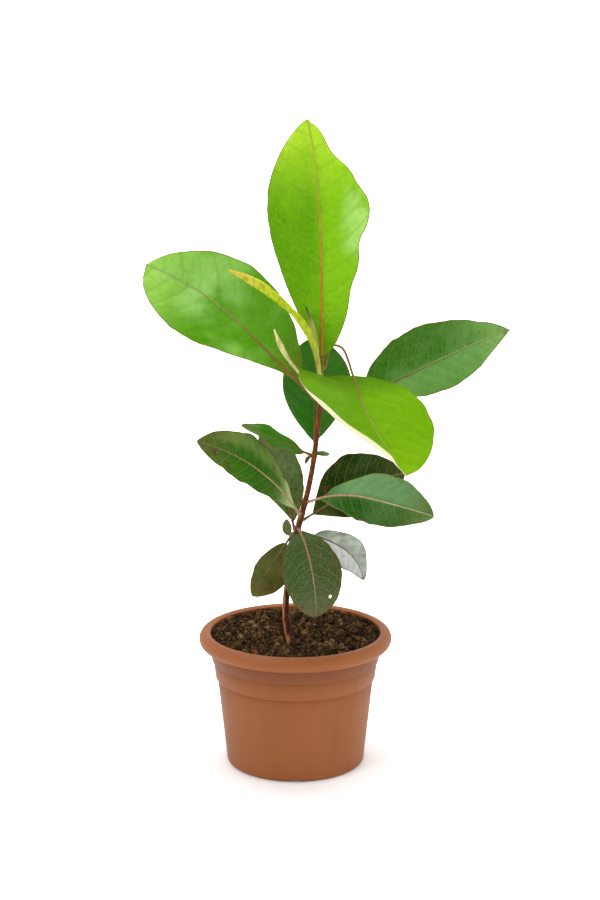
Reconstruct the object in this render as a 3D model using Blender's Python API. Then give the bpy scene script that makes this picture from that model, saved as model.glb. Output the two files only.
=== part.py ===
"""Potted sea almond tree: a young Terminalia catappa in a terracotta-coloured plastic pot.

Lengths below are millimetres and angles are degrees. The pot stands on z = 0 with its axis on
the Z axis, and the front of the plant faces -Y. Every node is one closed solid of its own.
"""

import math
from dataclasses import dataclass

import bmesh
import bpy
from mathutils import Vector

MM = 0.001

# ---------------------------------------------------------------- driving sizes
RIM_DIAMETER = 202.0
POT_HEIGHT = 142.0
FOOT_DIAMETER = 145.0
WALL = 2.4
BASE_THICKNESS = 5.0
RIM_ROLL_RADIUS = 8.0
NECK_HEIGHT = 32.0          # crest down to the shoulder groove
BAND_HEIGHT = 17.5          # raised band under the groove
BAND_STEP = 2.1             # how far the band stands out from the lower wall
FOOT_ROUND = 4.0
CHANNEL_WIDTH = 12.0
CHANNEL_DEPTH = 2.4
CHANNEL_START = 20.0
DRAIN_DIAMETER = 9.0
CHANNELS = 4

FIT_GAP = 0.3               # air left between neighbouring nodes
SOIL_DROP = 2.6             # soil edge below the rim crest
SOIL_DIP = 4.2              # hollow round the stem
SOIL_DIP_SPREAD = 30.0

STEM_HEIGHT = 300.0         # soil to growing tip
STEM_DIAMETER = 7.2         # at the soil
STEM_TIP_DIAMETER = 4.4
ROOT_DEPTH = 105.0
PETIOLE_DIAMETER = 3.2
LEAF_THICKNESS = 0.9
LEAF_EDGE = 0.5
MIDRIB_DEPTH = 0.9          # how far the midrib stands out under the blade

SEGMENTS = 40
STEM_SIDES = 10
STEM_FOOT = (-3.8, -27.0)

# Bends of the stem: sideways and depth place, then height above the soil as drawn.
STEM_BENDS = [
    (-3.8, -27.0, -5.0),
    (-7.5, -23.0, 12.0),
    (-9.8, -21.0, 29.0),
    (-9.6, -20.0, 47.0),
    (-5.6, -18.0, 80.0),
    (1.7, -16.0, 117.0),
    (9.7, -15.0, 147.0),
    (15.3, -14.0, 172.0),
    (20.0, -13.0, 201.0),
    (23.2, -12.0, 231.0),
    (25.2, -11.0, 258.0),
    (27.0, -10.0, 300.0),
]

# Side roots: heading, depth of the branch below the soil, length, drop.
SIDE_ROOTS = [
    (20.0, 26.0, 62.0, 30.0),
    (95.0, 38.0, 70.0, 28.0),
    (165.0, 30.0, 52.0, 34.0),
    (240.0, 44.0, 34.0, 30.0),
    (310.0, 52.0, 44.0, 36.0),
]


@dataclass
class Leaf:
    """A leaf grown from one node: its petiole, midrib and blade.

    left and right are seen along the leaf from its upper face, each as half width, place of the
    greatest width, base taper and tip taper. heading, lift and roll are read at the stations,
    which are shares of the whole length. Heading 0 is +X and 90 is +Y.
    """

    name: str
    height: float
    petiole: float
    blade: float
    left: tuple
    right: tuple
    heading: tuple
    lift: tuple
    roll: tuple
    colour: tuple
    stations: tuple = (0.0, 0.5, 1.0)
    fold: float = 6.0
    bend: float = 0.0
    dents: tuple = ()
    rows: int = 15


BRIGHT_GREEN = (0.24, 0.48, 0.03)
LEAF_GREEN = (0.10, 0.30, 0.03)
DARK_GREEN = (0.03, 0.13, 0.03)
BLUE_GREEN = (0.06, 0.17, 0.06)
OLIVE = (0.09, 0.09, 0.03)
SILVER_GREEN = (0.13, 0.17, 0.11)

LEAVES = [
    Leaf("leaf_top", 296.0, 2.0, 239.0,
         left=(53.0, 0.61, 0.60, 0.80), right=(51.0, 0.62, 0.40, 0.85),
         heading=(90.0, 90.0, 90.0), lift=(78.0, 83.0, 88.0), roll=(0.0, 0.0, 0.0),
         colour=BRIGHT_GREEN, fold=4.0, bend=15.0,
         dents=((-1, 0.86, 14.0, 0.08), (-1, 0.74, 6.0, 0.05),
                (-1, 0.48, 8.5, 0.075), (-1, 0.30, 5.5, 0.09)), rows=24),
    Leaf("leaf_upper_left", 254.0, 26.0, 199.0,
         left=(49.0, 0.68, 0.85, 0.42), right=(53.0, 0.50, 0.60, 0.8),
         heading=(-158.0, -173.0, -186.0), lift=(46.0, 46.0, 20.0), roll=(-66.0, -66.0, -66.0),
         colour=LEAF_GREEN, rows=18),
    Leaf("leaf_upper_front", 287.0, 68.0, 144.0,
         left=(65.0, 0.55, 0.25, 0.4), right=(71.0, 0.32, 0.26, 1.2),
         heading=(36.0, 60.0, 30.0, -20.0, -50.0, -84.0, -66.0, -42.0),
         lift=(72.0, 70.0, 0.0, -66.0, -66.0, -21.0, -34.0, -42.0),
         roll=(-10.0, -10.0, -10.0),
         stations=(0.0, 0.08, 0.13, 0.20, 0.28, 0.40, 0.66, 1.0),
         colour=BRIGHT_GREEN, fold=12.0, rows=18),
    Leaf("leaf_upper_right", 244.0, 50.0, 166.0,
         left=(43.0, 0.45, 0.65, 0.8), right=(36.0, 0.50, 0.90, 1.1),
         heading=(22.0, 15.0, 8.0), lift=(13.0, 24.0, 19.0), roll=(50.0, 50.0, 50.0),
         colour=DARK_GREEN),
    Leaf("leaf_upper_back", 200.0, 12.0, 110.0,
         left=(33.0, 0.58, 0.70, 0.6), right=(38.0, 0.58, 0.70, 0.6),
         heading=(91.0, 90.0, 90.0), lift=(40.0, 80.0, 90.0), roll=(0.0, 0.0, 0.0),
         colour=DARK_GREEN),
    Leaf("leaf_middle_left_front", 137.0, 8.0, 140.0,
         left=(25.0, 0.55, 0.60, 0.7), right=(28.0, 0.55, 0.80, 0.7),
         heading=(-134.0, -150.0, -172.0), lift=(53.0, 39.0, 17.0), roll=(-60.0, -60.0, -60.0),
         colour=LEAF_GREEN),
    Leaf("leaf_middle_left_back", 118.0, 8.0, 98.0,
         left=(22.0, 0.55, 1.00, 0.8), right=(24.0, 0.50, 0.80, 0.7),
         heading=(123.0, 135.0, 155.0), lift=(66.0, 66.0, 50.0), roll=(-45.0, -45.0, -45.0),
         colour=BLUE_GREEN),
    Leaf("leaf_middle_left_small", 198.0, 8.0, 81.0,
         left=(18.0, 0.50, 0.80, 0.9), right=(18.0, 0.50, 0.80, 0.9),
         heading=(-150.0, -150.0, -153.0), lift=(26.0, 27.0, 26.0), roll=(-28.0, -28.0, -28.0),
         colour=DARK_GREEN, rows=12),
    Leaf("leaf_middle_right_back", 129.0, 12.0, 112.0,
         left=(37.0, 0.52, 0.95, 0.6), right=(32.0, 0.55, 0.80, 0.7),
         heading=(34.0, 24.0, 14.0), lift=(22.0, 22.0, 6.0), roll=(50.0, 50.0, 50.0),
         colour=OLIVE),
    Leaf("leaf_middle_right_front", 149.0, 12.0, 126.0,
         left=(31.0, 0.58, 1.00, 0.75), right=(31.0, 0.55, 0.80, 0.8),
         heading=(-27.0, -22.0, -16.0), lift=(26.0, -8.0, -14.0), roll=(45.0, 45.0, 45.0),
         colour=BLUE_GREEN),
    Leaf("leaf_lower_front", 121.0, 8.0, 94.0,
         left=(31.0, 0.55, 0.50, 0.55), right=(32.0, 0.55, 0.50, 0.55),
         heading=(-77.0, -62.0, -42.0), lift=(-10.0, -68.0, -92.0), roll=(0.0, 10.0, 20.0),
         colour=BLUE_GREEN),
    Leaf("leaf_lower_right", 117.0, 14.0, 74.0,
         left=(19.0, 0.50, 0.60, 0.8), right=(22.0, 0.50, 0.60, 0.8),
         heading=(0.0, 0.0, -10.0), lift=(-12.0, -30.0, -82.0), roll=(30.0, 40.0, 40.0),
         colour=SILVER_GREEN, rows=12),
    Leaf("leaf_lower_left", 116.0, 12.0, 65.0,
         left=(22.0, 0.50, 0.60, 0.65), right=(14.0, 0.50, 0.60, 0.65),
         heading=(-151.0, -160.0, -168.0), lift=(-50.0, -54.0, -60.0), roll=(-70.0, -70.0, -70.0),
         colour=OLIVE, rows=12),
    Leaf("leaf_lower_back_tiny", 113.0, 1.5, 19.0,
         left=(5.0, 0.50, 0.70, 0.6), right=(5.0, 0.50, 0.70, 0.6),
         heading=(150.0, 150.0, 150.0), lift=(0.0, 80.0, 100.0), roll=(-60.0, -60.0, -60.0),
         colour=SILVER_GREEN, rows=8),
]


@dataclass
class Shoot:
    """A round shoot without a flat blade, such as a bud or a leaf that is still rolled up."""

    name: str
    height: float
    length: float
    heading: tuple
    lift: tuple
    radii: tuple
    colour: tuple
    rows: int = 12


SHOOTS = [
    Shoot("young_leaf_rolled", 281.0, 159.0,
          heading=(-115.0, -156.0, -168.0), lift=(80.0, 44.0, 23.0),
          radii=(2.2, 2.6, 3.2, 3.9, 4.1, 2.9, 3.8, 4.8, 5.0, 3.2, 0.6), colour=(0.55, 0.55, 0.06), rows=20),
    Shoot("bud_pale", 258.0, 92.0,
          heading=(-118.0, -164.0, -166.0), lift=(44.0, 50.0, 74.0),
          radii=(1.5, 1.5, 1.5, 1.6, 3.0, 0.6), colour=(0.62, 0.55, 0.32), rows=14),
    Shoot("bud_dark", 292.0, 60.0,
          heading=(-178.0, -172.0, -180.0), lift=(89.0, 79.0, 68.0),
          radii=(1.8, 2.4, 3.0, 2.9, 2.1, 0.5), colour=(0.16, 0.20, 0.03)),
    Shoot("petiole_stub", 200.0, 16.0,
          heading=(-45.0, -45.0, -42.0), lift=(10.0, 4.0, 0.0),
          radii=(2.0, 2.2, 2.6, 2.8, 2.4, 1.4), colour=(0.12, 0.22, 0.05), rows=6),
    Shoot("bud_scale", 196.0, 10.0,
          heading=(175.0, 175.0, 175.0), lift=(-20.0, -62.0, -72.0),
          radii=(1.2, 1.8, 2.2, 2.0, 1.4, 0.5), colour=(0.07, 0.06, 0.02), rows=6),
]


# ---------------------------------------------------------------- small helpers
def clear_scene():
    for old in list(bpy.data.objects):
        bpy.data.objects.remove(old, do_unlink=True)


def make_material(name, colour, roughness):
    material = bpy.data.materials.new(name)
    material.use_nodes = True
    shader = material.node_tree.nodes["Principled BSDF"]
    shader.inputs["Base Color"].default_value = (*colour, 1.0)
    shader.inputs["Roughness"].default_value = roughness
    return material


def finish_mesh(name, bm, material):
    """Turns a bmesh in millimetres into one object in metres, with its faces outward."""
    bmesh.ops.recalc_face_normals(bm, faces=bm.faces)
    bmesh.ops.scale(bm, vec=(MM, MM, MM), verts=bm.verts)
    mesh = bpy.data.meshes.new(name)
    bm.to_mesh(mesh)
    bm.free()
    obj = bpy.data.objects.new(name, mesh)
    bpy.context.scene.collection.objects.link(obj)
    if material:
        mesh.materials.append(material)
    return obj


def loft(name, rings, material=None):
    """Joins rings of equal count into one closed solid with flat ends."""
    bm = bmesh.new()
    rows = [[bm.verts.new(point) for point in ring] for ring in rings]
    count = len(rows[0])
    for lower, upper in zip(rows, rows[1:]):
        for i in range(count):
            j = (i + 1) % count
            bm.faces.new((lower[i], lower[j], upper[j], upper[i]))
    bm.faces.new(rows[0])
    bm.faces.new(rows[-1])
    return finish_mesh(name, bm, material)


def lathe(name, profile, material=None):
    """Turns a profile of (radius, height) points round Z. Its first and last points are on Z."""
    bm = bmesh.new()
    rings = []
    for radius, height in profile[1:-1]:
        turn = [2.0 * math.pi * i / SEGMENTS for i in range(SEGMENTS)]
        rings.append([bm.verts.new((radius * math.cos(a), radius * math.sin(a), height)) for a in turn])
    start = bm.verts.new((0.0, 0.0, profile[0][1]))
    end = bm.verts.new((0.0, 0.0, profile[-1][1]))
    for i in range(SEGMENTS):
        j = (i + 1) % SEGMENTS
        bm.faces.new((start, rings[0][j], rings[0][i]))
        bm.faces.new((end, rings[-1][i], rings[-1][j]))
        for lower, upper in zip(rings, rings[1:]):
            bm.faces.new((lower[i], lower[j], upper[j], upper[i]))
    return finish_mesh(name, bm, material)


def combine(target, tool, operation):
    """Adds an exact Boolean to the target. The tool only shapes it and isn't a node."""
    tool.hide_render = True
    tool.display_type = "WIRE"
    boolean = target.modifiers.new(tool.name, "BOOLEAN")
    boolean.operation = operation
    boolean.solver = "EXACT"
    boolean.object = tool


def arc(centre, radius, start, end, steps):
    """Points of (radius, height) on an arc, from the start angle to the end angle."""
    points = []
    for i in range(steps + 1):
        angle = math.radians(start + (end - start) * i / steps)
        points.append((centre[0] + radius * math.cos(angle), centre[1] + radius * math.sin(angle)))
    return points


def read_along(values, stations, share):
    """Reads a list of values, one to each station, at a share of the length."""
    for i in range(len(stations) - 1):
        if share <= stations[i + 1]:
            local = (share - stations[i]) / (stations[i + 1] - stations[i])
            return values[i] + (values[i + 1] - values[i]) * local
    return values[-1]


def even_stations(values):
    return [i / (len(values) - 1) for i in range(len(values))]


def smooth_course(points, steps):
    """A Catmull-Rom curve through the points."""
    given = [Vector(p) for p in points]
    padded = [2 * given[0] - given[1], *given, 2 * given[-1] - given[-2]]
    course = []
    for i in range(1, len(padded) - 2):
        a, b, c, d = padded[i - 1:i + 3]
        for k in range(steps):
            t = k / steps
            bent = (-a + 3 * b - 3 * c + d) * t ** 3 + (2 * a - 5 * b + 4 * c - d) * t ** 2
            course.append(0.5 * (2 * b + (c - a) * t + bent))
    course.append(given[-1])
    return course


def tube_rings(course, radii, sides):
    """Round rings square to a course."""
    rings = []
    for i, point in enumerate(course):
        along = course[min(i + 1, len(course) - 1)] - course[max(i - 1, 0)]
        along.normalize()
        side = along.cross(Vector((0.31, 0.95, 0.05))).normalized()
        other = along.cross(side)
        ring = []
        for k in range(sides):
            angle = 2.0 * math.pi * k / sides
            ring.append(point + radii[i] * (side * math.cos(angle) + other * math.sin(angle)))
        rings.append(ring)
    return rings


# ---------------------------------------------------------------- pot
RIM_RADIUS = RIM_DIAMETER / 2
ROLL_CENTRE = (RIM_RADIUS - RIM_ROLL_RADIUS, POT_HEIGHT - RIM_ROLL_RADIUS)
NECK_RADIUS = ROLL_CENTRE[0] - 1.6          # outside of the wall under the rolled rim
GROOVE_HEIGHT = POT_HEIGHT - NECK_HEIGHT
STEP_HEIGHT = GROOVE_HEIGHT - BAND_HEIGHT
FOOT_RADIUS = FOOT_DIAMETER / 2
SHOULDER_RADIUS = NECK_RADIUS - 4.0         # outside of the wall just above the groove
BAND_TOP_RADIUS = SHOULDER_RADIUS - 1.5
BAND_LOW_RADIUS = BAND_TOP_RADIUS - 1.9
BODY_TOP_RADIUS = BAND_LOW_RADIUS - BAND_STEP


def pot_inside():
    """The inner wall from the lip down to the floor, as (radius, height)."""
    return [
        (NECK_RADIUS - WALL, POT_HEIGHT - 2.0),
        (NECK_RADIUS - WALL - 0.3, POT_HEIGHT - 16.0),
        (SHOULDER_RADIUS - WALL, GROOVE_HEIGHT + 1.0),
        (BAND_TOP_RADIUS - WALL, GROOVE_HEIGHT - 2.0),
        (BAND_LOW_RADIUS - WALL, STEP_HEIGHT + 1.0),
        (BODY_TOP_RADIUS - WALL, STEP_HEIGHT - 2.0),
        (FOOT_RADIUS - WALL + 0.4, BASE_THICKNESS + FOOT_ROUND),
        (FOOT_RADIUS - WALL - FOOT_ROUND, BASE_THICKNESS),
    ]


def pot_outside():
    """The outer wall from the foot up to the rolled rim, as (radius, height)."""
    foot = arc((FOOT_RADIUS - FOOT_ROUND, FOOT_ROUND), FOOT_ROUND, -90.0, 0.0, 3)
    wall = [
        (BODY_TOP_RADIUS, STEP_HEIGHT - 0.6),
        (BAND_LOW_RADIUS, STEP_HEIGHT),
        (BAND_TOP_RADIUS, GROOVE_HEIGHT - 1.0),
        (BAND_TOP_RADIUS - 0.5, GROOVE_HEIGHT - 0.4),
        (SHOULDER_RADIUS, GROOVE_HEIGHT + 0.4),
        (NECK_RADIUS - 1.5, POT_HEIGHT - 22.0),
        (NECK_RADIUS, POT_HEIGHT - 14.0),
    ]
    inner_roll = RIM_ROLL_RADIUS - WALL
    meet = math.degrees(math.acos((NECK_RADIUS - ROLL_CENTRE[0]) / inner_roll))
    under_roll = arc(ROLL_CENTRE, inner_roll, meet, -72.0, 6)
    over_roll = arc(ROLL_CENTRE, RIM_ROLL_RADIUS, -72.0, 110.0, 9)
    return [*foot, *wall, *under_roll, *over_roll]


def build_pot():
    profile = [(0.0, 0.0), *pot_outside(), *pot_inside(), (0.0, BASE_THICKNESS)]
    pot = lathe("pot", profile, make_material("pot_plastic", (0.40, 0.15, 0.06), 0.45))
    length = FOOT_RADIUS - CHANNEL_START + 10.0
    for i in range(CHANNELS):
        angle = math.radians(-90.0 + 360.0 * i / CHANNELS)
        outward = Vector((math.cos(angle), math.sin(angle), 0.0))
        middle = outward * (CHANNEL_START + length / 2)
        channel = box_cutter(f"channel_cutter_{i}", middle, length, angle)
        combine(pot, channel, "DIFFERENCE")
        drain = drain_cutter(f"drain_cutter_{i}", outward * (FOOT_RADIUS * 0.62))
        combine(pot, drain, "DIFFERENCE")


def box_cutter(name, middle, length, angle):
    """A drain channel under the base, open at the foot's edge."""
    bm = bmesh.new()
    bmesh.ops.create_cube(bm, size=1.0)
    bmesh.ops.scale(bm, vec=(length, CHANNEL_WIDTH, 2 * CHANNEL_DEPTH), verts=bm.verts)
    bmesh.ops.translate(bm, vec=(middle.length, 0.0, 0.0), verts=bm.verts)
    cutter = finish_mesh(name, bm, None)
    cutter.rotation_euler = (0.0, 0.0, angle)
    return cutter


def drain_cutter(name, place):
    bm = bmesh.new()
    radius = DRAIN_DIAMETER / 2
    depth = 3 * BASE_THICKNESS
    bmesh.ops.create_cone(bm, cap_ends=True, segments=16, radius1=radius, radius2=radius, depth=depth)
    bmesh.ops.translate(bm, vec=(place.x, place.y, 0.0), verts=bm.verts)
    return finish_mesh(name, bm, None)


# ---------------------------------------------------------------- stem, roots and soil
def soil_height(x, y):
    """Height of the soil surface: level at the edge, with a shallow hollow round the stem."""
    away = math.hypot(x - STEM_FOOT[0], y - STEM_FOOT[1]) / SOIL_DIP_SPREAD
    return POT_HEIGHT - SOIL_DROP - SOIL_DIP * math.exp(-away * away)


STEM_STRETCH = STEM_HEIGHT / STEM_BENDS[-1][2]
SOIL_AT_STEM = soil_height(*STEM_FOOT)


def stem_course():
    """Middle line of the stem above the soil, with the buried taproot below it."""
    root_end = SOIL_AT_STEM - ROOT_DEPTH
    buried = [
        (STEM_FOOT[0] + 3.0, STEM_FOOT[1] + 6.0, root_end),
        (STEM_FOOT[0] - 2.0, STEM_FOOT[1] + 3.0, SOIL_AT_STEM - 0.7 * ROOT_DEPTH),
        (STEM_FOOT[0] + 1.0, STEM_FOOT[1], SOIL_AT_STEM - 0.35 * ROOT_DEPTH),
    ]
    risen = [(x, y, SOIL_AT_STEM + height * STEM_STRETCH) for x, y, height in STEM_BENDS]
    return smooth_course([*buried, *risen], 3)


STEM_COURSE = stem_course()


def stem_radius(height):
    """Radius of the stem at a height above the soil, with the taproot tapering below."""
    if height < 0.0:
        share = min(1.0, -height / ROOT_DEPTH)
        return STEM_DIAMETER / 2 * (1.1 - 0.9 * share)
    share = min(1.0, height / STEM_HEIGHT)
    return (STEM_DIAMETER + (STEM_TIP_DIAMETER - STEM_DIAMETER) * share) / 2


def stem_point(height):
    """The stem's middle line at a height above the soil."""
    level = SOIL_AT_STEM + height
    for low, high in zip(STEM_COURSE, STEM_COURSE[1:]):
        if low.z <= level <= high.z:
            return low.lerp(high, (level - low.z) / (high.z - low.z))
    return STEM_COURSE[-1].copy()


def stem_rings(extra):
    radii = [stem_radius(p.z - SOIL_AT_STEM) + extra for p in STEM_COURSE]
    return tube_rings(STEM_COURSE, radii, STEM_SIDES)


def side_root_rings(heading, depth, length, drop, extra):
    """One side root, from inside the taproot outward and down."""
    start = stem_point(-depth)
    angle = math.radians(heading)
    fall = math.radians(drop)
    course = []
    radii = []
    rows = 6
    for i in range(rows + 1):
        share = i / rows
        out = length * share * math.cos(fall)
        down = length * share * share * math.sin(fall)
        swerve = 5.0 * math.sin(math.pi * share)
        course.append(start + Vector((out * math.cos(angle) - swerve * math.sin(angle),
                                      out * math.sin(angle) + swerve * math.cos(angle), -down)))
        radii.append(1.5 - 0.9 * share + extra)
    return tube_rings(course, radii, 8)


def build_stem():
    stem = loft("stem_with_roots", stem_rings(0.0), make_material("bark", (0.24, 0.07, 0.035), 0.6))
    for i, root in enumerate(SIDE_ROOTS):
        combine(stem, loft(f"side_root_tool_{i}", side_root_rings(*root, 0.0)), "UNION")


def build_soil():
    """Fills the pot up to the surface and leaves room for the stem and the roots."""
    wall = [(r - FIT_GAP, z) for r, z in pot_inside()[1:-1]]
    floor = [(pot_inside()[-1][0] - FIT_GAP, BASE_THICKNESS + FIT_GAP)]
    rim = [(pot_inside()[0][0] - FIT_GAP, POT_HEIGHT - SOIL_DROP)]
    top = [(rim[0][0] * share, POT_HEIGHT) for share in (0.14, 0.28, 0.42, 0.56, 0.70, 0.85)]
    profile = [(0.0, POT_HEIGHT), *top, *rim, *wall, *floor, (0.0, BASE_THICKNESS + FIT_GAP)]
    soil = lathe("soil", profile, make_material("potting_soil", (0.09, 0.05, 0.02), 0.95))
    for vertex in soil.data.vertices:
        if vertex.co.z > (POT_HEIGHT - 1.0) * MM:
            vertex.co.z = soil_height(vertex.co.x / MM, vertex.co.y / MM) * MM
    combine(soil, loft("stem_room", stem_rings(FIT_GAP)), "DIFFERENCE")
    for i, root in enumerate(SIDE_ROOTS):
        room = loft(f"side_root_room_{i}", side_root_rings(*root, FIT_GAP))
        combine(soil, room, "DIFFERENCE")


# ---------------------------------------------------------------- leaves and shoots
def start_place(height, heading, lift, radius):
    """Where a petiole begins: just clear of the stem, on the side that it grows to."""
    level = height * STEM_STRETCH
    reach = stem_radius(level) + FIT_GAP + radius * abs(math.sin(math.radians(lift))) + 0.15
    angle = math.radians(heading)
    return stem_point(level) + reach * Vector((math.cos(angle), math.sin(angle), 0.0))


def direction(heading, lift):
    h = math.radians(heading)
    v = math.radians(lift)
    return Vector((math.cos(v) * math.cos(h), math.cos(v) * math.sin(h), math.sin(v)))


def leaf_frames(leaf, rows):
    """Places and axes along the leaf: point, leftward axis, upper-face axis."""
    total = leaf.petiole + leaf.blade
    fine = 80
    point = start_place(leaf.height, leaf.heading[0], leaf.lift[0], PETIOLE_DIAMETER / 2)
    line = [point.copy()]
    for i in range(fine):
        share = (i + 0.5) / fine
        heading = read_along(leaf.heading, leaf.stations, share)
        lift = read_along(leaf.lift, leaf.stations, share)
        point = point + direction(heading, lift) * (total / fine)
        line.append(point.copy())
    frames = []
    for share in rows:
        heading = read_along(leaf.heading, leaf.stations, share)
        lift = read_along(leaf.lift, leaf.stations, share)
        roll = math.radians(read_along(leaf.roll, even_stations(leaf.roll), share))
        along = direction(heading, lift)
        level = Vector((-math.sin(math.radians(heading)), math.cos(math.radians(heading)), 0.0))
        up = along.cross(level)
        left = level * math.cos(roll) + up * math.sin(roll)
        face = up * math.cos(roll) - level * math.sin(roll)
        spot = share * fine
        low = min(int(spot), fine - 1)
        place = line[low].lerp(line[low + 1], spot - low)
        frames.append((place, left, face))
    return frames


def half_width(leaf, side, t):
    """Half width of the blade at t along it. The side is 1 for left and -1 for right."""
    width, widest, base, tip = leaf.left if side > 0 else leaf.right
    power = math.log(0.5) / math.log(widest)
    swell = max(0.0, math.sin(math.pi * t ** power))
    value = width * swell ** (base + (tip - base) * t)
    for dent_side, place, depth, spread in leaf.dents:
        if dent_side == side:
            value -= depth * math.exp(-((t - place) / spread) ** 2)
    return max(value, 0.0)


ACROSS = (-1.0, -0.62, -0.28, 0.0, 0.28, 0.62, 1.0)


def leaf_ring(leaf, frame, t):
    """One cross-section: round on the petiole, thin and gently folded on the blade."""
    place, left, face = frame
    radius = PETIOLE_DIAMETER / 2
    fold = math.radians(leaf.fold)
    spread = min(1.0, max(0.0, t) / 0.12)
    place = place + left * leaf.bend * max(0.0, t) ** 4
    upper = []
    lower = []
    for u in ACROSS:
        side = 1 if u >= 0 else -1
        blade = max(half_width(leaf, side, max(0.0, t)), 0.7) if t > 0 else radius
        reach = radius + (blade - radius) * spread if t < 0.12 else blade
        distance = abs(u) * reach
        lifted = distance * math.sin(fold) * spread
        round_part = radius * math.sqrt(max(0.0, 1.0 - u * u)) * (1.0 - spread)
        thickness = LEAF_THICKNESS + (LEAF_EDGE - LEAF_THICKNESS) * abs(u)
        rib = MIDRIB_DEPTH * (1.0 - 0.7 * max(0.0, t)) if u == 0.0 else 0.0
        top = round_part + thickness / 2
        bottom = -round_part - thickness / 2 - rib * spread
        centre = place + left * side * distance * (math.cos(fold) if t > 0 else 1.0)
        upper.append(centre + face * (lifted + top))
        lower.append(centre + face * (lifted + bottom))
    return upper + lower[::-1]


def build_leaf(leaf):
    total = leaf.petiole + leaf.blade
    shares = [leaf.petiole * i / 4 / total for i in range(4)]
    if leaf.petiole > 40.0:
        shares = [leaf.petiole * i / 9 / total for i in range(9)]
    places = [-1.0] * len(shares)
    for i in range(leaf.rows + 1):
        t = i / leaf.rows
        shares.append((leaf.petiole + leaf.blade * t) / total)
        places.append(t)
    frames = leaf_frames(leaf, shares)
    rings = [leaf_ring(leaf, frame, t) for frame, t in zip(frames, places)]
    material = make_material(leaf.name + "_green", leaf.colour, 0.38)
    loft(leaf.name, rings, material)


def build_shoot(shoot):
    stations = even_stations(shoot.heading)
    point = start_place(shoot.height, shoot.heading[0], shoot.lift[0], shoot.radii[0])
    course = [point.copy()]
    radii = [shoot.radii[0]]
    for i in range(shoot.rows):
        middle = (i + 0.5) / shoot.rows
        heading = read_along(shoot.heading, stations, middle)
        lift = read_along(shoot.lift, stations, middle)
        point = point + direction(heading, lift) * (shoot.length / shoot.rows)
        course.append(point.copy())
        radii.append(read_along(shoot.radii, even_stations(shoot.radii), (i + 1) / shoot.rows))
    material = make_material(shoot.name + "_skin", shoot.colour, 0.45)
    loft(shoot.name, tube_rings(course, radii, 8), material)


def main():
    clear_scene()
    build_pot()
    build_stem()
    build_soil()
    for leaf in LEAVES:
        build_leaf(leaf)
    for shoot in SHOOTS:
        build_shoot(shoot)


main()
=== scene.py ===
"""Potted sea almond tree as it looks: leaf blades with their ribs, buds, stem, soil and pot.

Lengths are millimetres until a mesh is written, and angles are degrees. The pot stands on z = 0
with its axis on Z, and the front of the plant faces -Y.
"""

import math
from dataclasses import dataclass

import bmesh
import bpy
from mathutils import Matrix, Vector, noise


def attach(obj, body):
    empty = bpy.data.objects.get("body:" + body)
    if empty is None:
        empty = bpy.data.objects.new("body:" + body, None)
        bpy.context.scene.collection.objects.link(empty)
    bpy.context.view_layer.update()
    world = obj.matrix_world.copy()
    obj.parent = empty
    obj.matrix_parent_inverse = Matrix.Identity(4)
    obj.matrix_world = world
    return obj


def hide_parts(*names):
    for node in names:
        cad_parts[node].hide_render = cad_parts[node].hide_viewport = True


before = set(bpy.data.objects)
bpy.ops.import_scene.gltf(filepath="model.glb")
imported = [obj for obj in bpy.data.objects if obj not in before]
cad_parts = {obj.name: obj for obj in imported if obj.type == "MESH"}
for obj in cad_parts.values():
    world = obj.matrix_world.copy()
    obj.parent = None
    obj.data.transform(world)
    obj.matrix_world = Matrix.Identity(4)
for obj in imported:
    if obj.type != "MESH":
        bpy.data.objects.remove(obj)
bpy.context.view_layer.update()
MM = 0.001

# ---------------------------------------------------------------- sizes shared with the solid part
RIM_DIAMETER = 202.0
POT_HEIGHT = 142.0
FOOT_DIAMETER = 145.0
WALL = 2.4
BASE_THICKNESS = 5.0
RIM_ROLL_RADIUS = 8.0
NECK_HEIGHT = 32.0
BAND_HEIGHT = 17.5
BAND_STEP = 2.1
FOOT_ROUND = 4.0
CHANNEL_WIDTH = 12.0
CHANNEL_DEPTH = 2.4
CHANNEL_START = 20.0
DRAIN_DIAMETER = 9.0
DRAIN_SHARE = 0.62          # of the foot's radius, where the drain holes stand
CHANNELS = 4
FIT_GAP = 0.3
SOIL_DROP = 2.6
SOIL_DIP = 4.2
SOIL_DIP_SPREAD = 30.0
STEM_HEIGHT = 300.0
STEM_DIAMETER = 7.2
STEM_TIP_DIAMETER = 4.4
ROOT_DEPTH = 105.0
PETIOLE_DIAMETER = 3.2
STEM_FOOT = (-3.8, -27.0)

STEM_BENDS = [
    (-3.8, -27.0, -5.0),
    (-7.5, -23.0, 12.0),
    (-9.8, -21.0, 29.0),
    (-9.6, -20.0, 47.0),
    (-5.6, -18.0, 80.0),
    (1.7, -16.0, 117.0),
    (9.7, -15.0, 147.0),
    (15.3, -14.0, 172.0),
    (20.0, -13.0, 201.0),
    (23.2, -12.0, 231.0),
    (25.2, -11.0, 258.0),
    (27.0, -10.0, 300.0),
]

SIDE_ROOTS = [
    (20.0, 26.0, 62.0, 30.0),
    (95.0, 38.0, 70.0, 28.0),
    (165.0, 30.0, 52.0, 34.0),
    (240.0, 44.0, 34.0, 30.0),
    (310.0, 52.0, 44.0, 36.0),
]

# ---------------------------------------------------------------- fineness of the meshes
POT_SEGMENTS = 168
SOIL_SEGMENTS = 120
STEM_SIDES = 24
ROOT_SIDES = 10
ROOT_ROWS = 24
SHOOT_SIDES = 20
SHOOT_ROWS = 72
PATCH_SIDES = 72
PATCH_RINGS = 24
BED_RINGS = 30
HALF_BLADE = 0.24           # half the thickness of a blade
LEFT_SHIFT = 0.42           # the left side's veins start between the right side's
CURL_START = (0.16, 0.5)    # shares of the blade over which a curling margin begins
RIB_SIDES = 8

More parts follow.
